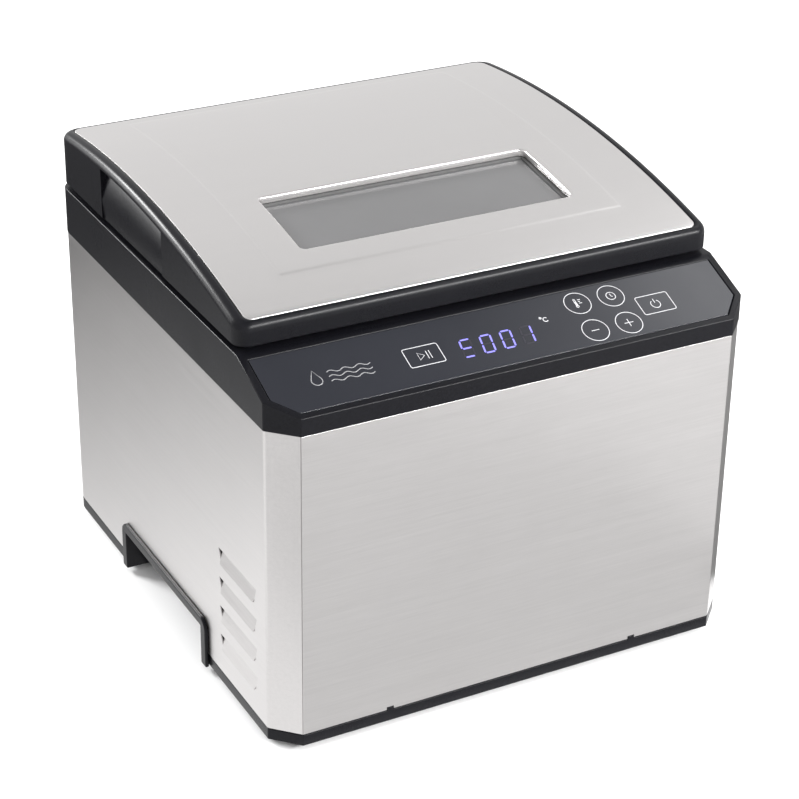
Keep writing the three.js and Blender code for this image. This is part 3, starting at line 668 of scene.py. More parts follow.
def ribbon_tree():
    """A flat printed line along each path in a plane."""
    bench, wires = open_tree("Printed line", [
        ("Width", "NodeSocketFloat"), ("Film", "NodeSocketFloat"), ("Finish", "NodeSocketMaterial")])
    path = bench.add("GeometryNodeMeshToCurve", values={"Mesh": wires["Geometry"]})
    level = bench.add("GeometryNodeSetCurveNormal", {"mode": "Z_UP"}, {"Curve": path})
    section = bench.add("GeometryNodeCurvePrimitiveQuadrilateral", {"mode": "RECTANGLE"},
                        {"Width": wires["Width"], "Height": wires["Film"]})
    skin = bench.add("GeometryNodeCurveToMesh", values={
        "Curve": level, "Profile Curve": section, "Fill Caps": True})
    return close_tree(bench, skin, wires["Finish"])


def grown(tree, mesh, **inputs):
    """The mesh that a geometry tree makes from a start mesh; underscores in input names are spaces."""
    obj = bpy.data.objects.new(tree.name, mesh)
    bpy.context.scene.collection.objects.link(obj)
    modifier = obj.modifiers.new("Tree", "NODES")
    modifier.node_group = tree
    for item in tree.interface.items_tree:
        if item.in_out == "INPUT" and item.name in inputs:
            modifier[item.identifier] = inputs[item.name]
    return evaluated_mesh(obj)


def aimed_points(name, places):
    """A mesh of loose points in millimetres, each with the turn of its fitting."""
    mesh = bpy.data.meshes.new(name)
    mesh.from_pydata([Vector(point) * MM for point, _ in places], [], [])
    attribute = mesh.attributes.new("aim", "FLOAT_VECTOR", "POINT")
    for entry, (_, turn) in zip(attribute.data, places):
        entry.vector = turn
    return mesh


def paths_mesh(name, paths):
    """A mesh of edges from paths, given as (points in millimetres, closed)."""
    verts, edges = [], []
    for points, closed in paths:
        first = len(verts)
        verts.extend(Vector(p) * MM for p in points)
        edges.extend((first + i, first + i + 1) for i in range(len(points) - 1))
        if closed:
            edges.append((first + len(points) - 1, first))
    mesh = bpy.data.meshes.new(name)
    mesh.from_pydata(verts, edges, [])
    return mesh


def fittings(name, tree, shape, places, finish, spin=0.0, seed=1):
    """Copies of a template mesh at the places, as one mesh."""
    template = bpy.data.objects.new(name + "_template", shape)
    bpy.context.scene.collection.objects.link(template)
    mesh = grown(tree, aimed_points(name, places), Shape=template, Size=1.0, Spin=spin, Seed=seed,
                 Finish=FINISHES[finish])
    bpy.data.objects.remove(template)
    return settle(mesh)


# ---------------------------------------------------------------- settings


class WaterBathSizes(bpy.types.PropertyGroup):
    """Sizes a user may change, in millimetres."""

    frame_edge: bpy.props.FloatProperty(
        name="Frame edge", description="Rounding of the black frame's edges", default=0.55, min=0.1, max=1.5)
    sheet_edge: bpy.props.FloatProperty(
        name="Sheet edge", description="Rounding of the steel sheets' cut edges", default=0.22, min=0.05, max=0.35)
    emboss: bpy.props.FloatProperty(
        name="Lid emboss", description="How far the middle of the lid's skin is raised", default=0.28, min=0.0, max=1.2)
    line_width: bpy.props.FloatProperty(
        name="Printed line", description="Width of the lines printed on the panel", default=0.42, min=0.2, max=1.0)
    digit_height: bpy.props.FloatProperty(
        name="Digit height", description="Height of the display's digits", default=11.3, min=8.0, max=14.0)
    rack_wire: bpy.props.FloatProperty(
        name="Rack wire", description="Radius of the rack's side wires", default=2.0, min=1.2, max=2.0)
    spin: bpy.props.FloatProperty(
        name="Screw spin", description="Most that a screw's slot is turned", default=math.pi / 2,
        min=0.0, max=math.pi, subtype="ANGLE")


class WaterBathColours(bpy.types.PropertyGroup):
    """Colours a user may change."""

    steel: bpy.props.FloatVectorProperty(
        name="Steel", description="Stainless skins", size=3, subtype="COLOR", default=(0.58, 0.566, 0.562), min=0, max=1)
    moulding: bpy.props.FloatVectorProperty(
        name="Moulding", description="Black plastic", size=3, subtype="COLOR", default=(0.0045, 0.0045, 0.006), min=0, max=1)
    panel: bpy.props.FloatVectorProperty(
        name="Panel", description="Control panel", size=3, subtype="COLOR", default=(0.017, 0.018, 0.023), min=0, max=1)
    window: bpy.props.FloatVectorProperty(
        name="Window", description="Lid window", size=3, subtype="COLOR", default=(0.125, 0.124, 0.126), min=0, max=1)
    ink: bpy.props.FloatVectorProperty(
        name="Ink", description="Printed symbols", size=3, subtype="COLOR", default=(0.62, 0.62, 0.64), min=0, max=1)
    display: bpy.props.FloatVectorProperty(
        name="Display", description="Lit segments", size=3, subtype="COLOR", default=(0.27, 0.25, 0.95), min=0, max=1)


class WATERBATH_OT_finishes(bpy.types.Operator):
    """Make every finish and give the CAD nodes theirs"""

    bl_idname = "waterbath.finishes"
    bl_label = "Finishes"

    def execute(self, context):
        FINISHES.update(make_finishes(context.scene.water_bath_colours))
        directions = {"front_panel": "x", "rear_panel": "x", "lid_top_panel": "lid",
                      "left_side_panel": "y", "right_side_panel": "y"}
        for part in frame["record"]["subparts"]:
            slot = part["material_slot"]
            key = f"{slot}:{directions[part['node']]}" if part["node"] in directions else slot
            mesh = frame["nodes"][part["node"]].data
            mesh.materials.clear()
            mesh.materials.append(FINISHES[key])
        return {"FINISHED"}


# ---------------------------------------------------------------- housing


class WATERBATH_OT_frame(bpy.types.Operator):
    """Round the edges of the black top frame, the base and the hand holds"""

    bl_idname = "waterbath.frame"
    bl_label = "Mouldings"

    def execute(self, context):
        edge = context.scene.water_bath_sizes.frame_edge
        piece("frame_moulding", softened("top_frame", edge, 3), "black_plastic", HOUSING, "black_plastic", "top_frame")
        piece("base_moulding", softened("base_tray", edge, 2), "black_plastic", HOUSING, "black_plastic", "base_tray")

        def trim(e):
            outer = [abs(v.co.x) / MM > HOLD_FACE - 0.05 for v in e.verts]
            if not all(outer) or e.calc_face_angle(0.0) < math.radians(28.0):
                return None
            ys = [v.co.y / MM for v in e.verts]
            zs = [v.co.z / MM for v in e.verts]
            inside = all(-50.0 < y < 60.0 for y in ys) and all(z < 28.5 for z in zs)
            return 0.5 if inside else 0.9

        for side in ("left", "right"):
            node = f"{side}_hand_hold"
            piece(f"{side}_grip_moulding", softened(node, 0.5, 3, trim), "black_plastic", HOUSING, "black_plastic", node)
        return {"FINISHED"}


def side_plan():
    """Plan of a side sheet's outer face from its front fold to its rear lip, with the way out at each point.

    A station given as None, None stands for a louvre's end, whose place changes with height."""
    wall = HALF_WIDTH - CLADDING_INSET
    front, back = CLADDING_INSET - HALF_DEPTH, HALF_DEPTH - CLADDING_INSET
    leg = CHAMFER - CLADDING_INSET * (2 - math.sqrt(2))
    fold = HALF_WIDTH - CHAMFER + 0.1
    slope = Vector((1.0, -1.0)).normalized()
    stations = [((fold, front + fold - wall + leg), slope)]
    bend_x = wall - BEND_RADIUS
    bend_y = front + leg + BEND_RADIUS * math.tan(math.pi / 8)
    for i in range(6):
        turn = math.radians(-45 + 9 * i)
        way = Vector((math.cos(turn), math.sin(turn)))
        stations.append(((bend_x + BEND_RADIUS * way.x, bend_y + BEND_RADIUS * way.y), way))
    level = Vector((1.0, 0.0))
    stations += [(None, level), (None, level), ((wall, HOLD_CUT[0]), level), ((wall, HOLD_CUT[1]), level)]
    radius = REAR_RADIUS - CLADDING_INSET
    for i in range(9):
        turn = math.radians(90 / 8 * i)
        way = Vector((math.cos(turn), math.sin(turn)))
        stations.append(((wall - radius + radius * way.x, back - radius + radius * way.y), way))
    stations.append(((HALF_WIDTH - REAR_LIP, back), Vector((0.0, 1.0))))
    return stations


def side_sheet(side, edge):
    """A side skin bent from one sheet, with its louvres lanced out and the hand hold cut from its foot."""
    stations = side_plan()
    lances = [LOUVRE["lowest"] + LOUVRE["pitch"] * i for i in range(LOUVRE["count"])]
    rows = sorted({CLADDING_BOTTOM, HOLD_CUT[2], FRAME_BOTTOM, *lances, *(z + LOUVRE["height"] for z in lances)})
    spare = next(i for i, (point, _) in enumerate(stations) if point is None)

    def lance_at(z):
        return next((low for low in lances if low - 0.01 < z < low + LOUVRE["height"] + 0.01), None)

    def taper_at(z):
        low = lance_at(z)
        return LOUVRE["taper"] * (0.5 if low is None else 1 - (z - low) / LOUVRE["height"])

    def outer(column, z):
        point, _ = stations[column]
        if point is None:
            ends = (LOUVRE["front"] + taper_at(z), LOUVRE["back"] - taper_at(z))
            point = (HALF_WIDTH - CLADDING_INSET, ends[column - spare])
        return point

    bm = bmesh.new()
    skins = []
    for depth in (0.0, SHEET):
        skin = []
        for z in rows:
            line_up = []
            for column, (_, way) in enumerate(stations):
                x, y = outer(column, z)
                line_up.append(bm.verts.new(Vector((side * (x - depth * way.x), y - depth * way.y, z)) * MM))
            skin.append(line_up)
        skins.append(skin)

    def kept(column, row):
        if not (0 <= column < len(stations) - 1 and 0 <= row < len(rows) - 1):
            return False
        middle = (rows[row] + rows[row + 1]) / 2
        in_lance = column == spare and lance_at(middle) is not None
        in_hold = column == spare + 2 and middle < HOLD_CUT[2]
        return not (in_lance or in_hold)

    for row in range(len(rows) - 1):
        for column in range(len(stations) - 1):
            if not kept(column, row):
                continue
            corners = [(row, column), (row, column + 1), (row + 1, column + 1), (row + 1, column)]
            bm.faces.new([skins[0][r][c] for r, c in corners])
            bm.faces.new([skins[1][r][c] for r, c in reversed(corners)])
            beside = [kept(column, row - 1), kept(column + 1, row), kept(column, row + 1), kept(column - 1, row)]
            for i, neighbour in enumerate(beside):
                if not neighbour:
                    (r0, c0), (r1, c1) = corners[i], corners[(i + 1) % 4]
                    bm.faces.new([skins[0][r1][c1], skins[0][r0][c0], skins[1][r0][c0], skins[1][r1][c1]])
    for low in lances:
        blade = []
        for depth in (0.0, SHEET):
            for dz, end in ((0.3, 0), (0.3, 1), (LOUVRE["height"] - 0.3, 1), (LOUVRE["height"] - 0.3, 0)):
                taper = LOUVRE["taper"] * (1 - dz / LOUVRE["height"])
                x = HALF_WIDTH - CLADDING_INSET - (dz - LOUVRE["pivot"]) * LOUVRE["lean"] - depth
                y = (LOUVRE["front"] + taper - 0.15, LOUVRE["back"] - taper + 0.15)[end]
                blade.append(bm.verts.new(Vector((side * x, y, low + dz)) * MM))
        for face in ((0, 1, 2, 3), (7, 6, 5, 4), (0, 4, 5, 1), (1, 5, 6, 2), (2, 6, 7, 3), (3, 7, 4, 0)):
            bm.faces.new([blade[i] for i in face])
    bmesh.ops.delete(bm, geom=[v for v in bm.verts if not v.link_faces], context="VERTS")
    obj = bpy.data.objects.new("side_sheet", from_bmesh("side_sheet", bm))
    bpy.context.scene.collection.objects.link(obj)
    ease = obj.modifiers.new("Edges", "BEVEL")
    ease.limit_method = "ANGLE"
    ease.angle_limit = math.radians(50)
    ease.width = edge * MM
    ease.segments = 2
    return evened("side_sheet", settle(evaluated_mesh(obj)))


class WATERBATH_OT_skins(bpy.types.Operator):
    """Give the steel skins soft bends and eased edges"""

    bl_idname = "waterbath.skins"
    bl_label = "Steel skins"

    def execute(self, context):
        edge = context.scene.water_bath_sizes.sheet_edge
        for side, name in ((-1, "left"), (1, "right")):
            piece(f"{name}_skin", side_sheet(side, edge), "brushed_steel:y", HOUSING, "brushed_steel",
                  f"{name}_side_panel")
        for node, name in (("front_panel", "front_skin"), ("rear_panel", "rear_skin")):
            piece(name, softened(node, edge), "brushed_steel:x", HOUSING, "brushed_steel", node)
        piece("inlet_moulding", softened("mains_inlet", 0.4), "dark_moulding", HOUSING, "dark_moulding", "mains_inlet")
        return {"FINISHED"}


class WATERBATH_OT_tank(bpy.types.Operator):
    """Draw the tank with a filleted floor"""

    bl_idname = "waterbath.tank"
    bl_label = "Tank"

    def execute(self, context):
        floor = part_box("water_tank")[0].z / MM

        def fillet(e):
            zs = [v.co.z / MM for v in e.verts]
            return None if max(zs) > floor + 12 else 0.3

        piece("drawn_tank", softened("water_tank", 0.3, 3, fillet), "tank_steel", HOUSING, "tank_steel", "water_tank")
        return {"FINISHED"}


# ---------------------------------------------------------------- control panel


def on_deck(x, s, lift=0.0):
    """A place on the glass: x across, s down the slope from the knee (negative is down)."""
    c, t = math.cos(DECK_TILT), math.sin(DECK_TILT)
    return Vector((x, KNEE_Y + s * c - lift * t, FRAME_TOP - GLASS_DROP + s * t + lift * c))


def laid_on_deck(mesh):
    """Moves a mesh drawn in the XY plane, in metres, onto the glass."""
    origin = on_deck(0, 0) * MM
    mesh.transform(Matrix.Translation(origin) @ Matrix.Rotation(DECK_TILT, 4, "X"))
    return mesh


def circle(cx, cy, radius, start=0.0, sweep=360.0, steps=40):
    closed = sweep >= 360.0
    count = steps if closed else steps + 1
    angles = [math.radians(start + sweep * i / steps) for i in range(count)]
    return [(cx + radius * math.cos(a), cy + radius * math.sin(a), 0) for a in angles], closed


def line(*points):
    return [(x, y, 0) for x, y in points], False


def key_outline(x0, x1, y0, y1, radius=1.1):
    points = rounded_loop(x0, x1, y0, y1, radius, radius, (0.5,), 4, 5)
    return [(x, y, 0) for x, y in points], True


UPPER_KEYS, LOWER_KEYS, KEY_X = -14.4, -34.3, (47.8, 68.2)
BAR_KEYS = -25.7
FILM = 0.03


def key_symbols():
    """The paths of every symbol printed on the panel."""
    left, right = KEY_X
    paths = [circle(x, y, 7.35, steps=64) for x in KEY_X for y in (UPPER_KEYS, LOWER_KEYS)]
    paths += [key_outline(79.8, 99.3, BAR_KEYS - 6.3, BAR_KEYS + 6.3), key_outline(-58.2, -38.5, BAR_KEYS - 6.3, BAR_KEYS + 6.3)]
    paths += [line((left - 2.3, LOWER_KEYS), (left + 2.3, LOWER_KEYS)),
              line((right - 2.6, LOWER_KEYS), (right + 2.6, LOWER_KEYS)),
              line((right, LOWER_KEYS - 2.6), (right, LOWER_KEYS + 2.6))]
    paths += [circle(right, UPPER_KEYS, 2.6, steps=32),
              line((right, UPPER_KEYS + 1.6), (right, UPPER_KEYS - 0.1), (right + 0.9, UPPER_KEYS - 0.6))]
    paths += [circle(left - 0.9, UPPER_KEYS - 2.0, 0.75, 125.0, 290.0, 16),
              line((left - 1.35, UPPER_KEYS - 1.4), (left - 1.35, UPPER_KEYS + 2.6)),
              line((left - 0.45, UPPER_KEYS - 1.4), (left - 0.45, UPPER_KEYS + 2.6)),
              circle(left - 0.9, UPPER_KEYS + 2.6, 0.45, 0.0, 180.0, 8),
              line((left - 0.9, UPPER_KEYS - 2.0), (left - 0.9, UPPER_KEYS + 1.2))]
    paths += [line((left + 0.9, UPPER_KEYS + y), (left + 0.9 + reach, UPPER_KEYS + y))
              for y, reach in ((2.2, 1.8), (1.0, 1.1), (-0.2, 1.8))]
    paths += [circle(89.4, BAR_KEYS - 0.4, 2.7, 125.0, 290.0, 32), line((89.4, BAR_KEYS + 0.4), (89.4, BAR_KEYS + 3.3))]
    paths += [([(-51.3, BAR_KEYS - 2.5, 0), (-51.3, BAR_KEYS + 2.5, 0), (-47.9, BAR_KEYS, 0)], True),
              line((-46.3, BAR_KEYS - 2.6), (-46.3, BAR_KEYS + 2.6)), line((-44.6, BAR_KEYS - 2.6), (-44.6, BAR_KEYS + 2.6))]
    return paths


def unit_mark():
    """A degree ring and the letter C."""
    return [circle(22.9, -18.7, 0.55, steps=14), circle(25.3, -20.3, 1.35, 40.0, 280.0, 18)]


def maker_free_mark():
    """A water drop beside three waves: says what the appliance holds."""
    drop = [(0.0, 5.4)]
    drop += [(2.9 * math.sin(a), -1.4 - 2.9 * math.cos(a)) for a in
             (math.radians(112 - 224 * i / 24) for i in range(25))]
    cx, cy = -108.0, BAR_KEYS + 0.6
    paths = [([(cx + x, cy + y, 0) for x, y in drop], True)]
    for row in range(3):
        y = cy + 2.6 - 3.1 * row
        paths.append(line(*((-101.0 + 0.5 * i, y + 0.75 * math.sin(i * math.pi / 8)) for i in range(49))))
    return paths


SEGMENT_PLACES = {
    "a": (0.5, 1.0, 0), "b": (1.0, 0.75, 1), "c": (1.0, 0.25, 1), "d": (0.5, 0.0, 0),
    "e": (0.0, 0.25, 1), "f": (0.0, 0.75, 1), "g": (0.5, 0.5, 0),
}
DIGITS = ("adfg", "abcdef", "abcdef", "bc")
DIGIT_WIDTH, DIGIT_PITCH, DIGIT_SLANT, FIRST_DIGIT = 5.9, 11.7, math.radians(9.0), -26.9


def digit_places(height, lit):
    """Where each lit or unlit segment lies, and its turn, for the scatter tree."""
    low = BAR_KEYS - 1.6 - height / 2
    places = []
    for index, shown in enumerate(DIGITS):
        for letter, (u, v, upright) in SEGMENT_PLACES.items():
            if (letter in shown) is not lit:
                continue
            drop = (v - 1.0) * height
            x = FIRST_DIGIT + index * DIGIT_PITCH + u * DIGIT_WIDTH + drop * math.tan(DIGIT_SLANT) + 0.6
            turn = math.pi / 2 - DIGIT_SLANT if upright else 0.0
            places.append(((x, low + v * height, 0), (0.0, 0.0, turn)))
    return places


def segment_shape(length, width, film):
    """One display segment: a thin six-cornered bar along X."""
    half, w = length / 2, width / 2
    outline = [(-half, 0), (-half + w, w), (half - w, w), (half, 0), (half - w, -w), (-half + w, -w)]
    bm = bmesh.new()
    face = bm.faces.new([bm.verts.new((x * MM, y * MM, 0)) for x, y in outline])
    raised = bmesh.ops.extrude_face_region(bm, geom=[face])["geom"]
    for vert in (v for v in raised if isinstance(v, bmesh.types.BMVert)):
        vert.co.z = film * MM
    return from_bmesh("segment", bm)


class WATERBATH_OT_panel(bpy.types.Operator):
    """Lay the control glass with its printed keys and display"""

    bl_idname = "waterbath.panel"
    bl_label = "Control panel"

    def execute(self, context):
        sizes = context.scene.water_bath_sizes
        piece("panel_glass", softened("control_glass", 0.3, 2), "control_glass", HOUSING, "control_glass", "control_glass")
        ribbon = ribbon_tree()
        prints = (("key_print", key_symbols(), sizes.line_width, "ink"),
                  ("unit_print", unit_mark(), 0.5, "ink"),
                  ("water_mark_print", maker_free_mark(), 0.5, "ink_grey"))
        for name, paths, width, finish in prints:
            mesh = grown(ribbon, paths_mesh(name, paths), Width=width * MM, Film=FILM * MM, Finish=FINISHES[finish])
            piece(name, laid_on_deck(mesh), finish, HOUSING, "control_glass")
        scatter = scatter_tree()
        for name, lit, finish in (("display_lit", True, "segment_lit"), ("display_unlit", False, "segment_dark")):
            bar = segment_shape(sizes.digit_height / 2 - 0.5, 0.95, FILM)
            mesh = fittings(name, scatter, bar, digit_places(sizes.digit_height, lit), finish)
            piece(name, laid_on_deck(mesh), finish, HOUSING, "control_glass")
        return {"FINISHED"}


# ---------------------------------------------------------------- lid


def side_stations(count):
    """Stations along the lid's sides, with each grip's end given twice."""
    low, high = LID_FRONT + LID_CORNER[0], LID_BACK - LID_CORNER[1]
    ends = [(GRIP[e] - low) / (high - low) for e in ("front", "back")]
    even = [i / count for i in range(1, count)]
    plain = [t for t in even if all(abs(t - e) > 0.4 / count for e in ends)]
    return sorted(plain + ends + ends)


STATIONS = side_stations(50)


def lid_loop(side, front, back, drop=0.0, level=None, lift=0.0):
    """A loop round the lid at insets from its outline, at the arch's height or at a fixed level."""
    radii = [max(corner - inset, 1.2) for corner, inset in zip(LID_CORNER, (front, back))]
    flat = rounded_loop(-LID_X + side, LID_X - side, LID_FRONT + front, LID_BACK - back, *radii,
                        STATIONS, 40, 8)
    return [(x, y, (arch(y) - drop if level is None else level) + lift) for x, y in flat]


def scooped(loop, row):
    """Moves a loop's points that lie in a grip to that row of the scoop."""
    moved = []
    run = len(STATIONS)
    first_right = 9
    first_left = first_right + run + 9 + 39 + 9
    inner = [i for i, t in enumerate(STATIONS) if STATIONS.count(t) == 2]
    spans = ((first_right + inner[1], first_right + inner[2]),
             (first_left + run - 1 - inner[2], first_left + run - 1 - inner[1]))
    for i, point in enumerate(loop):
        if any(a <= i <= b for a, b in spans):
            x, y, _ = point
            inset, z = row(arch(y))
            point = (math.copysign(LID_X - inset, x), y, z)
        moved.append(point)
    return moved


def lid_rim_loops():
    """Loops round the rim: up the outer wall, over the roll, into the groove and back inside."""
    bottom = LID_BOTTOM
    ceiling, pocket = GRIP["ceiling"], GRIP["pocket"]
    lean = 0.2466

    def ramp(z):
        return 0.2 + (z - GRIP["low"]) * lean

    scoop = (
        lambda top: (1.2, bottom),
        lambda top: (1.1, bottom + 0.7),
        lambda top: (0.2, GRIP["low"]),
        lambda top: (ramp(top - ceiling - pocket), top - ceiling - pocket),
        lambda top: (ramp(top - ceiling) + 2.0, top - ceiling),
        lambda top: (0.5, top - ceiling),
        lambda top: (0.0, top - ceiling + 0.45),
    )
    loops = [lid_loop(2.6, 2.6, 2.6, level=bottom)]
    loops.append(scooped(lid_loop(0.7, 0.7, 0.7, level=bottom), scoop[0]))
    loops.append(scooped(lid_loop(0, 0, 0, level=bottom + 0.7), scoop[1]))
    loops.append(scooped(lid_loop(0, 0, 0, level=bottom + 4), scoop[2]))
    for row, drop in zip(scoop[3:], (6.6, 5.4, 5.0, 4.7)):
        loops.append(scooped(lid_loop(0, 0, 0, drop=drop), row))
    steps = 8
    for step in range(steps + 1):
        a = math.pi / 2 * step / steps
        inward, down = 1 - math.cos(a), 1 - math.sin(a)
        loops.append(lid_loop(4.4 * inward, 3.0 * inward, 2.8 * inward, drop=4.4 * down))
    side, front, back = PANEL_INSET
    for gap, drop in ((0.62, 0.0), (0.42, 0.12), (0.36, 0.4), (0.36, 1.7)):
        loops.append(lid_loop(side - gap, front - gap, back - gap, drop=drop))
    loops.append(lid_loop(side + 3, front + 3, back + 3, drop=1.7))
    loops.append(lid_loop(side + 3, front + 3, back + 3, drop=4.0))
    loops.append(lid_loop(7.6, 4.5, 4.5, drop=9.0))
    loops.append(lid_loop(7.6, 4.5, 4.5, level=bottom + 3))
    return loops


def window_loop(grow, drop=0.0):
    half, front, back = WINDOW
    flat = rounded_loop(-half - grow, half + grow, front - grow, back + grow, 3.4 + grow, 3.4 + grow,
                        STATIONS, 40, 8)
    return [(x, y, arch(y) - drop) for x, y in flat]


def lerp_loops(a, b, t, lift_a, lift_b, drop=0.0):
    """A loop between two, with its height taken from the arch."""
    lift = lift_a + (lift_b - lift_a) * t
    out = []
    for (xa, ya, _), (xb, yb, _) in zip(a, b):
        x, y = xa + (xb - xa) * t, ya + (yb - ya) * t
        out.append((x, y, arch(y) + lift - drop))
    return out


def lid_skin_loops(emboss):
    """Loops over the lid's skin, down the window's turned flange and back along its underside."""
    side, front, back = PANEL_INSET
    rim = lid_loop(side, front, back)
    loops = [lid_loop(side, front, back, drop=d) for d in (SHEET, 0.4)]
    loops += [lid_loop(side + g, front + g, back + g, drop=d) for g, d in ((0.08, 0.16), (0.25, 0.04), (0.5, 0.0))]
    outer = lid_loop(LID_X - 102.3, 31.0 - 0.6, LID_BACK - 132.0)
    inner = lid_loop(LID_X - 99.9, 31.0 + 1.8, LID_BACK - 129.6)
    loops += [lerp_loops(rim, outer, t, 0, 0) for t in (0.12, 0.3, 0.55, 0.8, 1.0)]
    loops += [lerp_loops(outer, inner, t, (0.5 - 0.5 * math.cos(math.pi * t)) * emboss,
                         (0.5 - 0.5 * math.cos(math.pi * t)) * emboss) for t in (0.2, 0.4, 0.6, 0.8, 1.0)]
    lip = window_loop(1.6)
    loops += [lerp_loops(inner, lip, t, emboss, emboss) for t in (0.15, 0.35, 0.55, 0.75, 0.9, 1.0)]
    for grow, drop in ((0.9, 0.06), (0.4, 0.25), (0.1, 0.55), (0.0, 0.95), (0.0, 3.7), (0.75, 3.7), (0.75, 1.7)):
        loops.append(window_loop(grow, drop - emboss))
    loops += [lerp_loops(inner, lip, t, emboss, emboss, SHEET) for t in (0.9, 0.5, 0.0)]
    loops.append(lerp_loops(outer, inner, 0.0, 0, 0, SHEET))
    return loops


class WATERBATH_OT_lid(bpy.types.Operator):
    """Build the lid's skin, rim, window and liner"""

    bl_idname = "waterbath.lid"
    bl_label = "Lid"

    def execute(self, context):
        sizes = context.scene.water_bath_sizes
        skin = loft("lid_skin", lid_skin_loops(sizes.emboss))
        piece("lid_skin", skin, "brushed_steel:lid", LID, "brushed_steel", "lid_top_panel")
        rim = loft("lid_rim_moulding", lid_rim_loops(), 40.0)
        piece("lid_rim_moulding", rim, "black_plastic", LID, "black_plastic", "lid_rim")
        piece("window_pane", softened("window_glass", 0.4), "window_glass", LID, "window_glass", "window_glass")
        piece("lid_underside", softened("lid_liner", 0.25), "tank_steel", LID, "tank_steel", "lid_liner")
        return {"FINISHED"}


# ---------------------------------------------------------------- rack and fastenings


class WATERBATH_OT_rack(bpy.types.Operator):
    """Weld the wire rack that stands on the tank's floor"""

    bl_idname = "waterbath.rack"
    bl_label = "Rack"

    def execute(self, context):
        wire = context.scene.water_bath_sizes.rack_wire
        low, high = (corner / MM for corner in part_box("bottom_rack"))
        x, level = high.x - 4.0, high.z - 3.5
        y0, y1 = low.y + 4.0, high.y - 4.0
        tree = round_wire_tree()
        rails = [([(s * x, y0 - 4, level), (s * x, y1 + 4, level)], False) for s in (-1, 1)]
        rails += [([(s * x, y, low.z + 0.2), (s * x, y, level)], False) for s in (-1, 1) for y in (y0 + 16, y1 - 16)]
        bars = 11
        cross = [([(-x - 4, y0 + (y1 - y0) * i / (bars - 1), level + 2.0),
                   (x + 4, y0 + (y1 - y0) * i / (bars - 1), level + 2.0)], False) for i in range(bars)]
        bm = bmesh.new()
        for name, paths, radius in (("rails", rails, wire), ("bars", cross, wire * 0.75)):
            part = grown(tree, paths_mesh(name, paths), Radius=radius * MM, Sides=20, Finish=FINISHES["tank_steel"])
            bm.from_mesh(part)
        mesh = from_bmesh("rack_wires", bm)
        piece("rack_wires", mesh, "tank_steel", RACK, "tank_steel", "bottom_rack")
        return {"FINISHED"}


def screw_head(radius, height):
    """A pan head with a cross recess, its underside at z = 0."""
    reach, half, depth = radius * 0.58, radius * 0.13, height * 0.55

    def cross(x, y):
        arm = max(abs(x), abs(y)) < reach and min(abs(x), abs(y)) < half
        return depth if arm else 0.0

    rings = [radius * t for t in (0.06, 0.13, 0.2, 0.3, 0.4, 0.5, 0.57, 0.63, 0.72)]
    profile = [(0, height)] + [(r, height) for r in rings]
    profile += [(radius * math.sin(a), height * (0.35 + 0.65 * math.cos(a - 0.6) ** 0.5)) for a in (0.95, 1.15, 1.4)]
    profile += [(radius, height * 0.2), (radius, 0), (0, 0)]
    return turned("screw_head", profile, 48, cross)


def foot_shape():
    """A moulded foot, from its seat at the base to the face that it stands on."""
    lo, hi = (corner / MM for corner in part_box("foot_front_left"))
    radius, height = (hi.x - lo.x) / 2, hi.z - lo.z
    return turned("foot", [
        (0, height - 0.01), (radius - 0.4, height - 0.01), (radius, height - 0.4), (radius, 1.5), (radius - 0.25, 0.7),
        (radius - 0.8, 0.2), (radius - 1.6, 0.0), (5.2, 0.0), (4.75, 0.15), (4.6, 0.5), (4.6, 2.2), (0, 2.2)], 48)


class WATERBATH_OT_fastenings(bpy.types.Operator):
    """Set the screws and the feet"""

    bl_idname = "waterbath.fastenings"
    bl_label = "Screws and feet"

    def execute(self, context):
        spin = context.scene.water_bath_sizes.spin
        tree = scatter_tree()

        def centre(node):
            lo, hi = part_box(node)
            return (lo + hi) / 2 / MM, lo / MM, hi / MM

        rear = [f"rear_panel_screw_{i}" for i in range(1, 5)] + ["inlet_screw_left", "inlet_screw_right"]
        rear_places = []
        for node in rear:
            middle, _, hi = centre(node)
            rear_places.append(((middle.x, hi.y - 1.2, middle.z), (-math.pi / 2, 0, 0)))
        under = [n for n in frame["nodes"] if n.startswith("foot_screw_")]
        lid_screws = [n for n in frame["nodes"] if n.startswith("lid_screw_")]
        sets = (("rear_screw_heads", HOUSING, rear, rear_places, 2.8, 1.2),
                ("foot_screw_heads", HOUSING, under, None, 3.7, 1.4),
                ("lid_screw_heads", LID, lid_screws, None, 2.6, 1.2))
        for seed, (name, body, nodes, places, radius, height) in enumerate(sets, 1):
            if places is None:
                places = []
                for node in nodes:
                    middle, lo, _ = centre(node)
                    places.append(((middle.x, middle.y, lo.z + height), (math.pi, 0, 0)))
            heads = fittings(name, tree, screw_head(radius, height), places, "fastener_steel", spin, seed)
            piece(name, heads, "fastener_steel", body, "fastener_steel", *nodes)
        feet = [n for n in frame["nodes"] if n.startswith("foot_") and "screw" not in n]
        places = [((centre(n)[0].x, centre(n)[0].y, 0.0), (0, 0, 0)) for n in feet]
        pads = fittings("feet", tree, foot_shape(), places, "rubber", 0.0, 9)
        piece("rubber_feet", pads, "rubber", HOUSING, "rubber", *feet)
        return {"FINISHED"}


# ---------------------------------------------------------------- stage

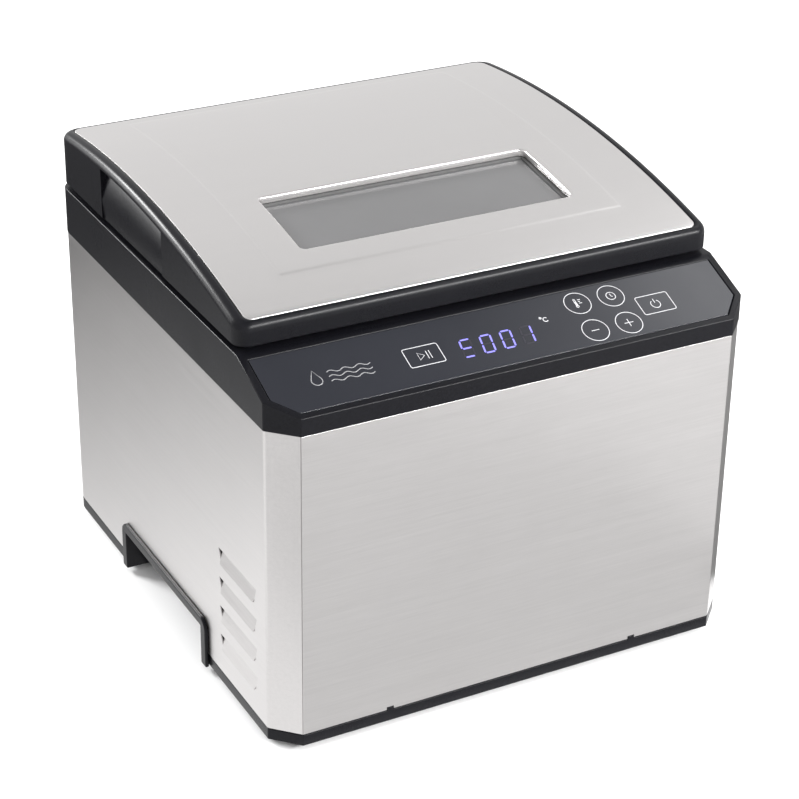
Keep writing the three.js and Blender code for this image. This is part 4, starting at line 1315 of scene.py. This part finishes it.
CAMERA = {"place": (-546.9, -1029.9, 724.1), "azimuth": -28.19, "elevation": 27.78, "roll": 0.88, "lens": 104.4}
LIGHTS = (
    # name, place, aim, size, power
    ("overhead_front", (0.85, -0.75, 1.75), (0.0, -0.1, 0.2), (1.2, 0.8), 9.0),
    ("front_strip", (0.75, -1.45, 0.95), (0.0, -0.1, 0.2), (1.4, 0.13), 50.0),
    ("right_glow", (1.4, 0.36, 1.8), (0.0, -0.1, 0.2), (0.5, 0.5), 2.5),
    ("back_left", (-0.84, 1.17, 0.87), (0.0, 0.0, 0.24), (0.5, 0.35), 26.0),
    ("low_left", (-0.98, 1.1, 0.42), (0.0, 0.0, 0.2), (0.6, 0.4), 4.0),
)
CARDS = (
    # name, place, size, (y, shade) from front to back: cards seen only in reflections
    ("left_floor_card", (-0.5, 0.6, 0.004), (0.74, 1.6),
     ((0.0, 1.3), (0.12, 1.0), (0.28, 0.62), (0.4, 0.4), (0.5, 0.15))),
    ("front_floor_card", (-0.22, -0.575, 0.003), (0.8, 0.85), ((-1.0, 0.87), (-0.15, 0.9))),
    ("front_right_card", (0.59, -0.575, 0.003), (0.82, 0.85), ((-1.0, 1.15), (-0.15, 1.12))),
    ("right_floor_card", (0.5, 0.2, 0.003), (0.66, 0.8), ((-0.2, 0.2), (0.6, 0.2))),
    ("overhead_card", (0.4, 0.2, 1.8), (0.9, 1.0), ((-0.3, 0.35), (0.7, 0.35))),
    ("front_overhead_card", (0.6, -1.3, 1.86), (2.4, 2.0), ((-2.3, 0.3), (-0.3, 0.3))),
)


class WATERBATH_OT_stage(bpy.types.Operator):
    """Set the pale floor, the soft lights and the camera"""

    bl_idname = "waterbath.stage"
    bl_label = "Stage"

    def execute(self, context):
        scene = context.scene
        bm = bmesh.new()
        bmesh.ops.create_grid(bm, x_segments=8, y_segments=8, size=9.0)
        floor = bpy.data.objects.new("floor", from_bmesh("floor", bm, outwards=False))
        floor.data.materials.append(studio_sweep("Paper sweep", (0.9, 0.9, 0.9)))
        scene.collection.objects.link(floor)

        for name, place, size, shades in CARDS:
            bm = bmesh.new()
            bmesh.ops.create_grid(bm, x_segments=4, y_segments=4, size=0.5)
            card = bpy.data.objects.new(name, from_bmesh(name, bm, outwards=False))
            card.data.transform(Matrix.Translation(place) @ Matrix.Diagonal((*size, 1.0, 1.0)))
            card.data.materials.append(glowing_card(name, shades))
            card.visible_camera = card.visible_diffuse = card.visible_shadow = False
            scene.collection.objects.link(card)

        world = bpy.data.worlds.new("Studio")
        world.use_nodes = True
        world.node_tree.nodes["Background"].inputs["Color"].default_value = (1.0, 1.0, 1.0, 1.0)
        world.node_tree.nodes["Background"].inputs["Strength"].default_value = 1.0
        scene.world = world
        scene.view_settings.view_transform = "Standard"

        for name, place, aim, size, power in LIGHTS:
            data = bpy.data.lights.new(name, "AREA")
            data.shape = "RECTANGLE"
            data.size, data.size_y = size
            data.energy = power
            light = bpy.data.objects.new(name, data)
            light.location = place
            light.rotation_euler = (Vector(aim) - Vector(place)).to_track_quat("-Z", "Y").to_euler()
            scene.collection.objects.link(light)

        a, e, roll = (math.radians(CAMERA[k]) for k in ("azimuth", "elevation", "roll"))
        back = Vector((math.sin(a) * math.cos(e), -math.cos(a) * math.cos(e), math.sin(e)))
        level = Vector((math.cos(a), math.sin(a), 0.0))
        right = level * math.cos(roll) + back.cross(level) * math.sin(roll)
        turn = Matrix((right, back.cross(right), back)).transposed()
        data = bpy.data.cameras.new("camera")
        data.lens = CAMERA["lens"]
        camera = bpy.data.objects.new("camera", data)
        camera.matrix_world = Matrix.Translation(Vector(CAMERA["place"]) * MM) @ turn.to_4x4()
        scene.collection.objects.link(camera)
        scene.camera = camera
        return {"FINISHED"}


STEPS = (WATERBATH_OT_finishes, WATERBATH_OT_frame, WATERBATH_OT_skins, WATERBATH_OT_tank, WATERBATH_OT_panel,
         WATERBATH_OT_lid, WATERBATH_OT_rack, WATERBATH_OT_fastenings, WATERBATH_OT_stage)


class WATERBATH_PT_panel(bpy.types.Panel):
    """Lists the settings and the steps in order"""

    bl_label = "Water Bath"
    bl_idname = "WATERBATH_PT_panel"
    bl_space_type = "VIEW_3D"
    bl_region_type = "UI"
    bl_category = "Water Bath"

    def draw(self, context):
        for group in (context.scene.water_bath_sizes, context.scene.water_bath_colours):
            for key in group.bl_rna.properties.keys():
                if key not in ("rna_type", "name"):
                    self.layout.prop(group, key)
        for step in STEPS:
            self.layout.operator(step.bl_idname)


CLASSES = (WaterBathSizes, WaterBathColours, *STEPS, WATERBATH_PT_panel)


def register():
    for cls in CLASSES:
        bpy.utils.register_class(cls)
    bpy.types.Scene.water_bath_sizes = bpy.props.PointerProperty(type=WaterBathSizes)
    bpy.types.Scene.water_bath_colours = bpy.props.PointerProperty(type=WaterBathColours)


def unregister():
    del bpy.types.Scene.water_bath_colours
    del bpy.types.Scene.water_bath_sizes
    for cls in reversed(CLASSES):
        bpy.utils.unregister_class(cls)


def main():
    register()
    for step in STEPS:
        group, name = step.bl_idname.split(".")
        getattr(getattr(bpy.ops, group), name)()


if __name__ == "__main__":
    main()
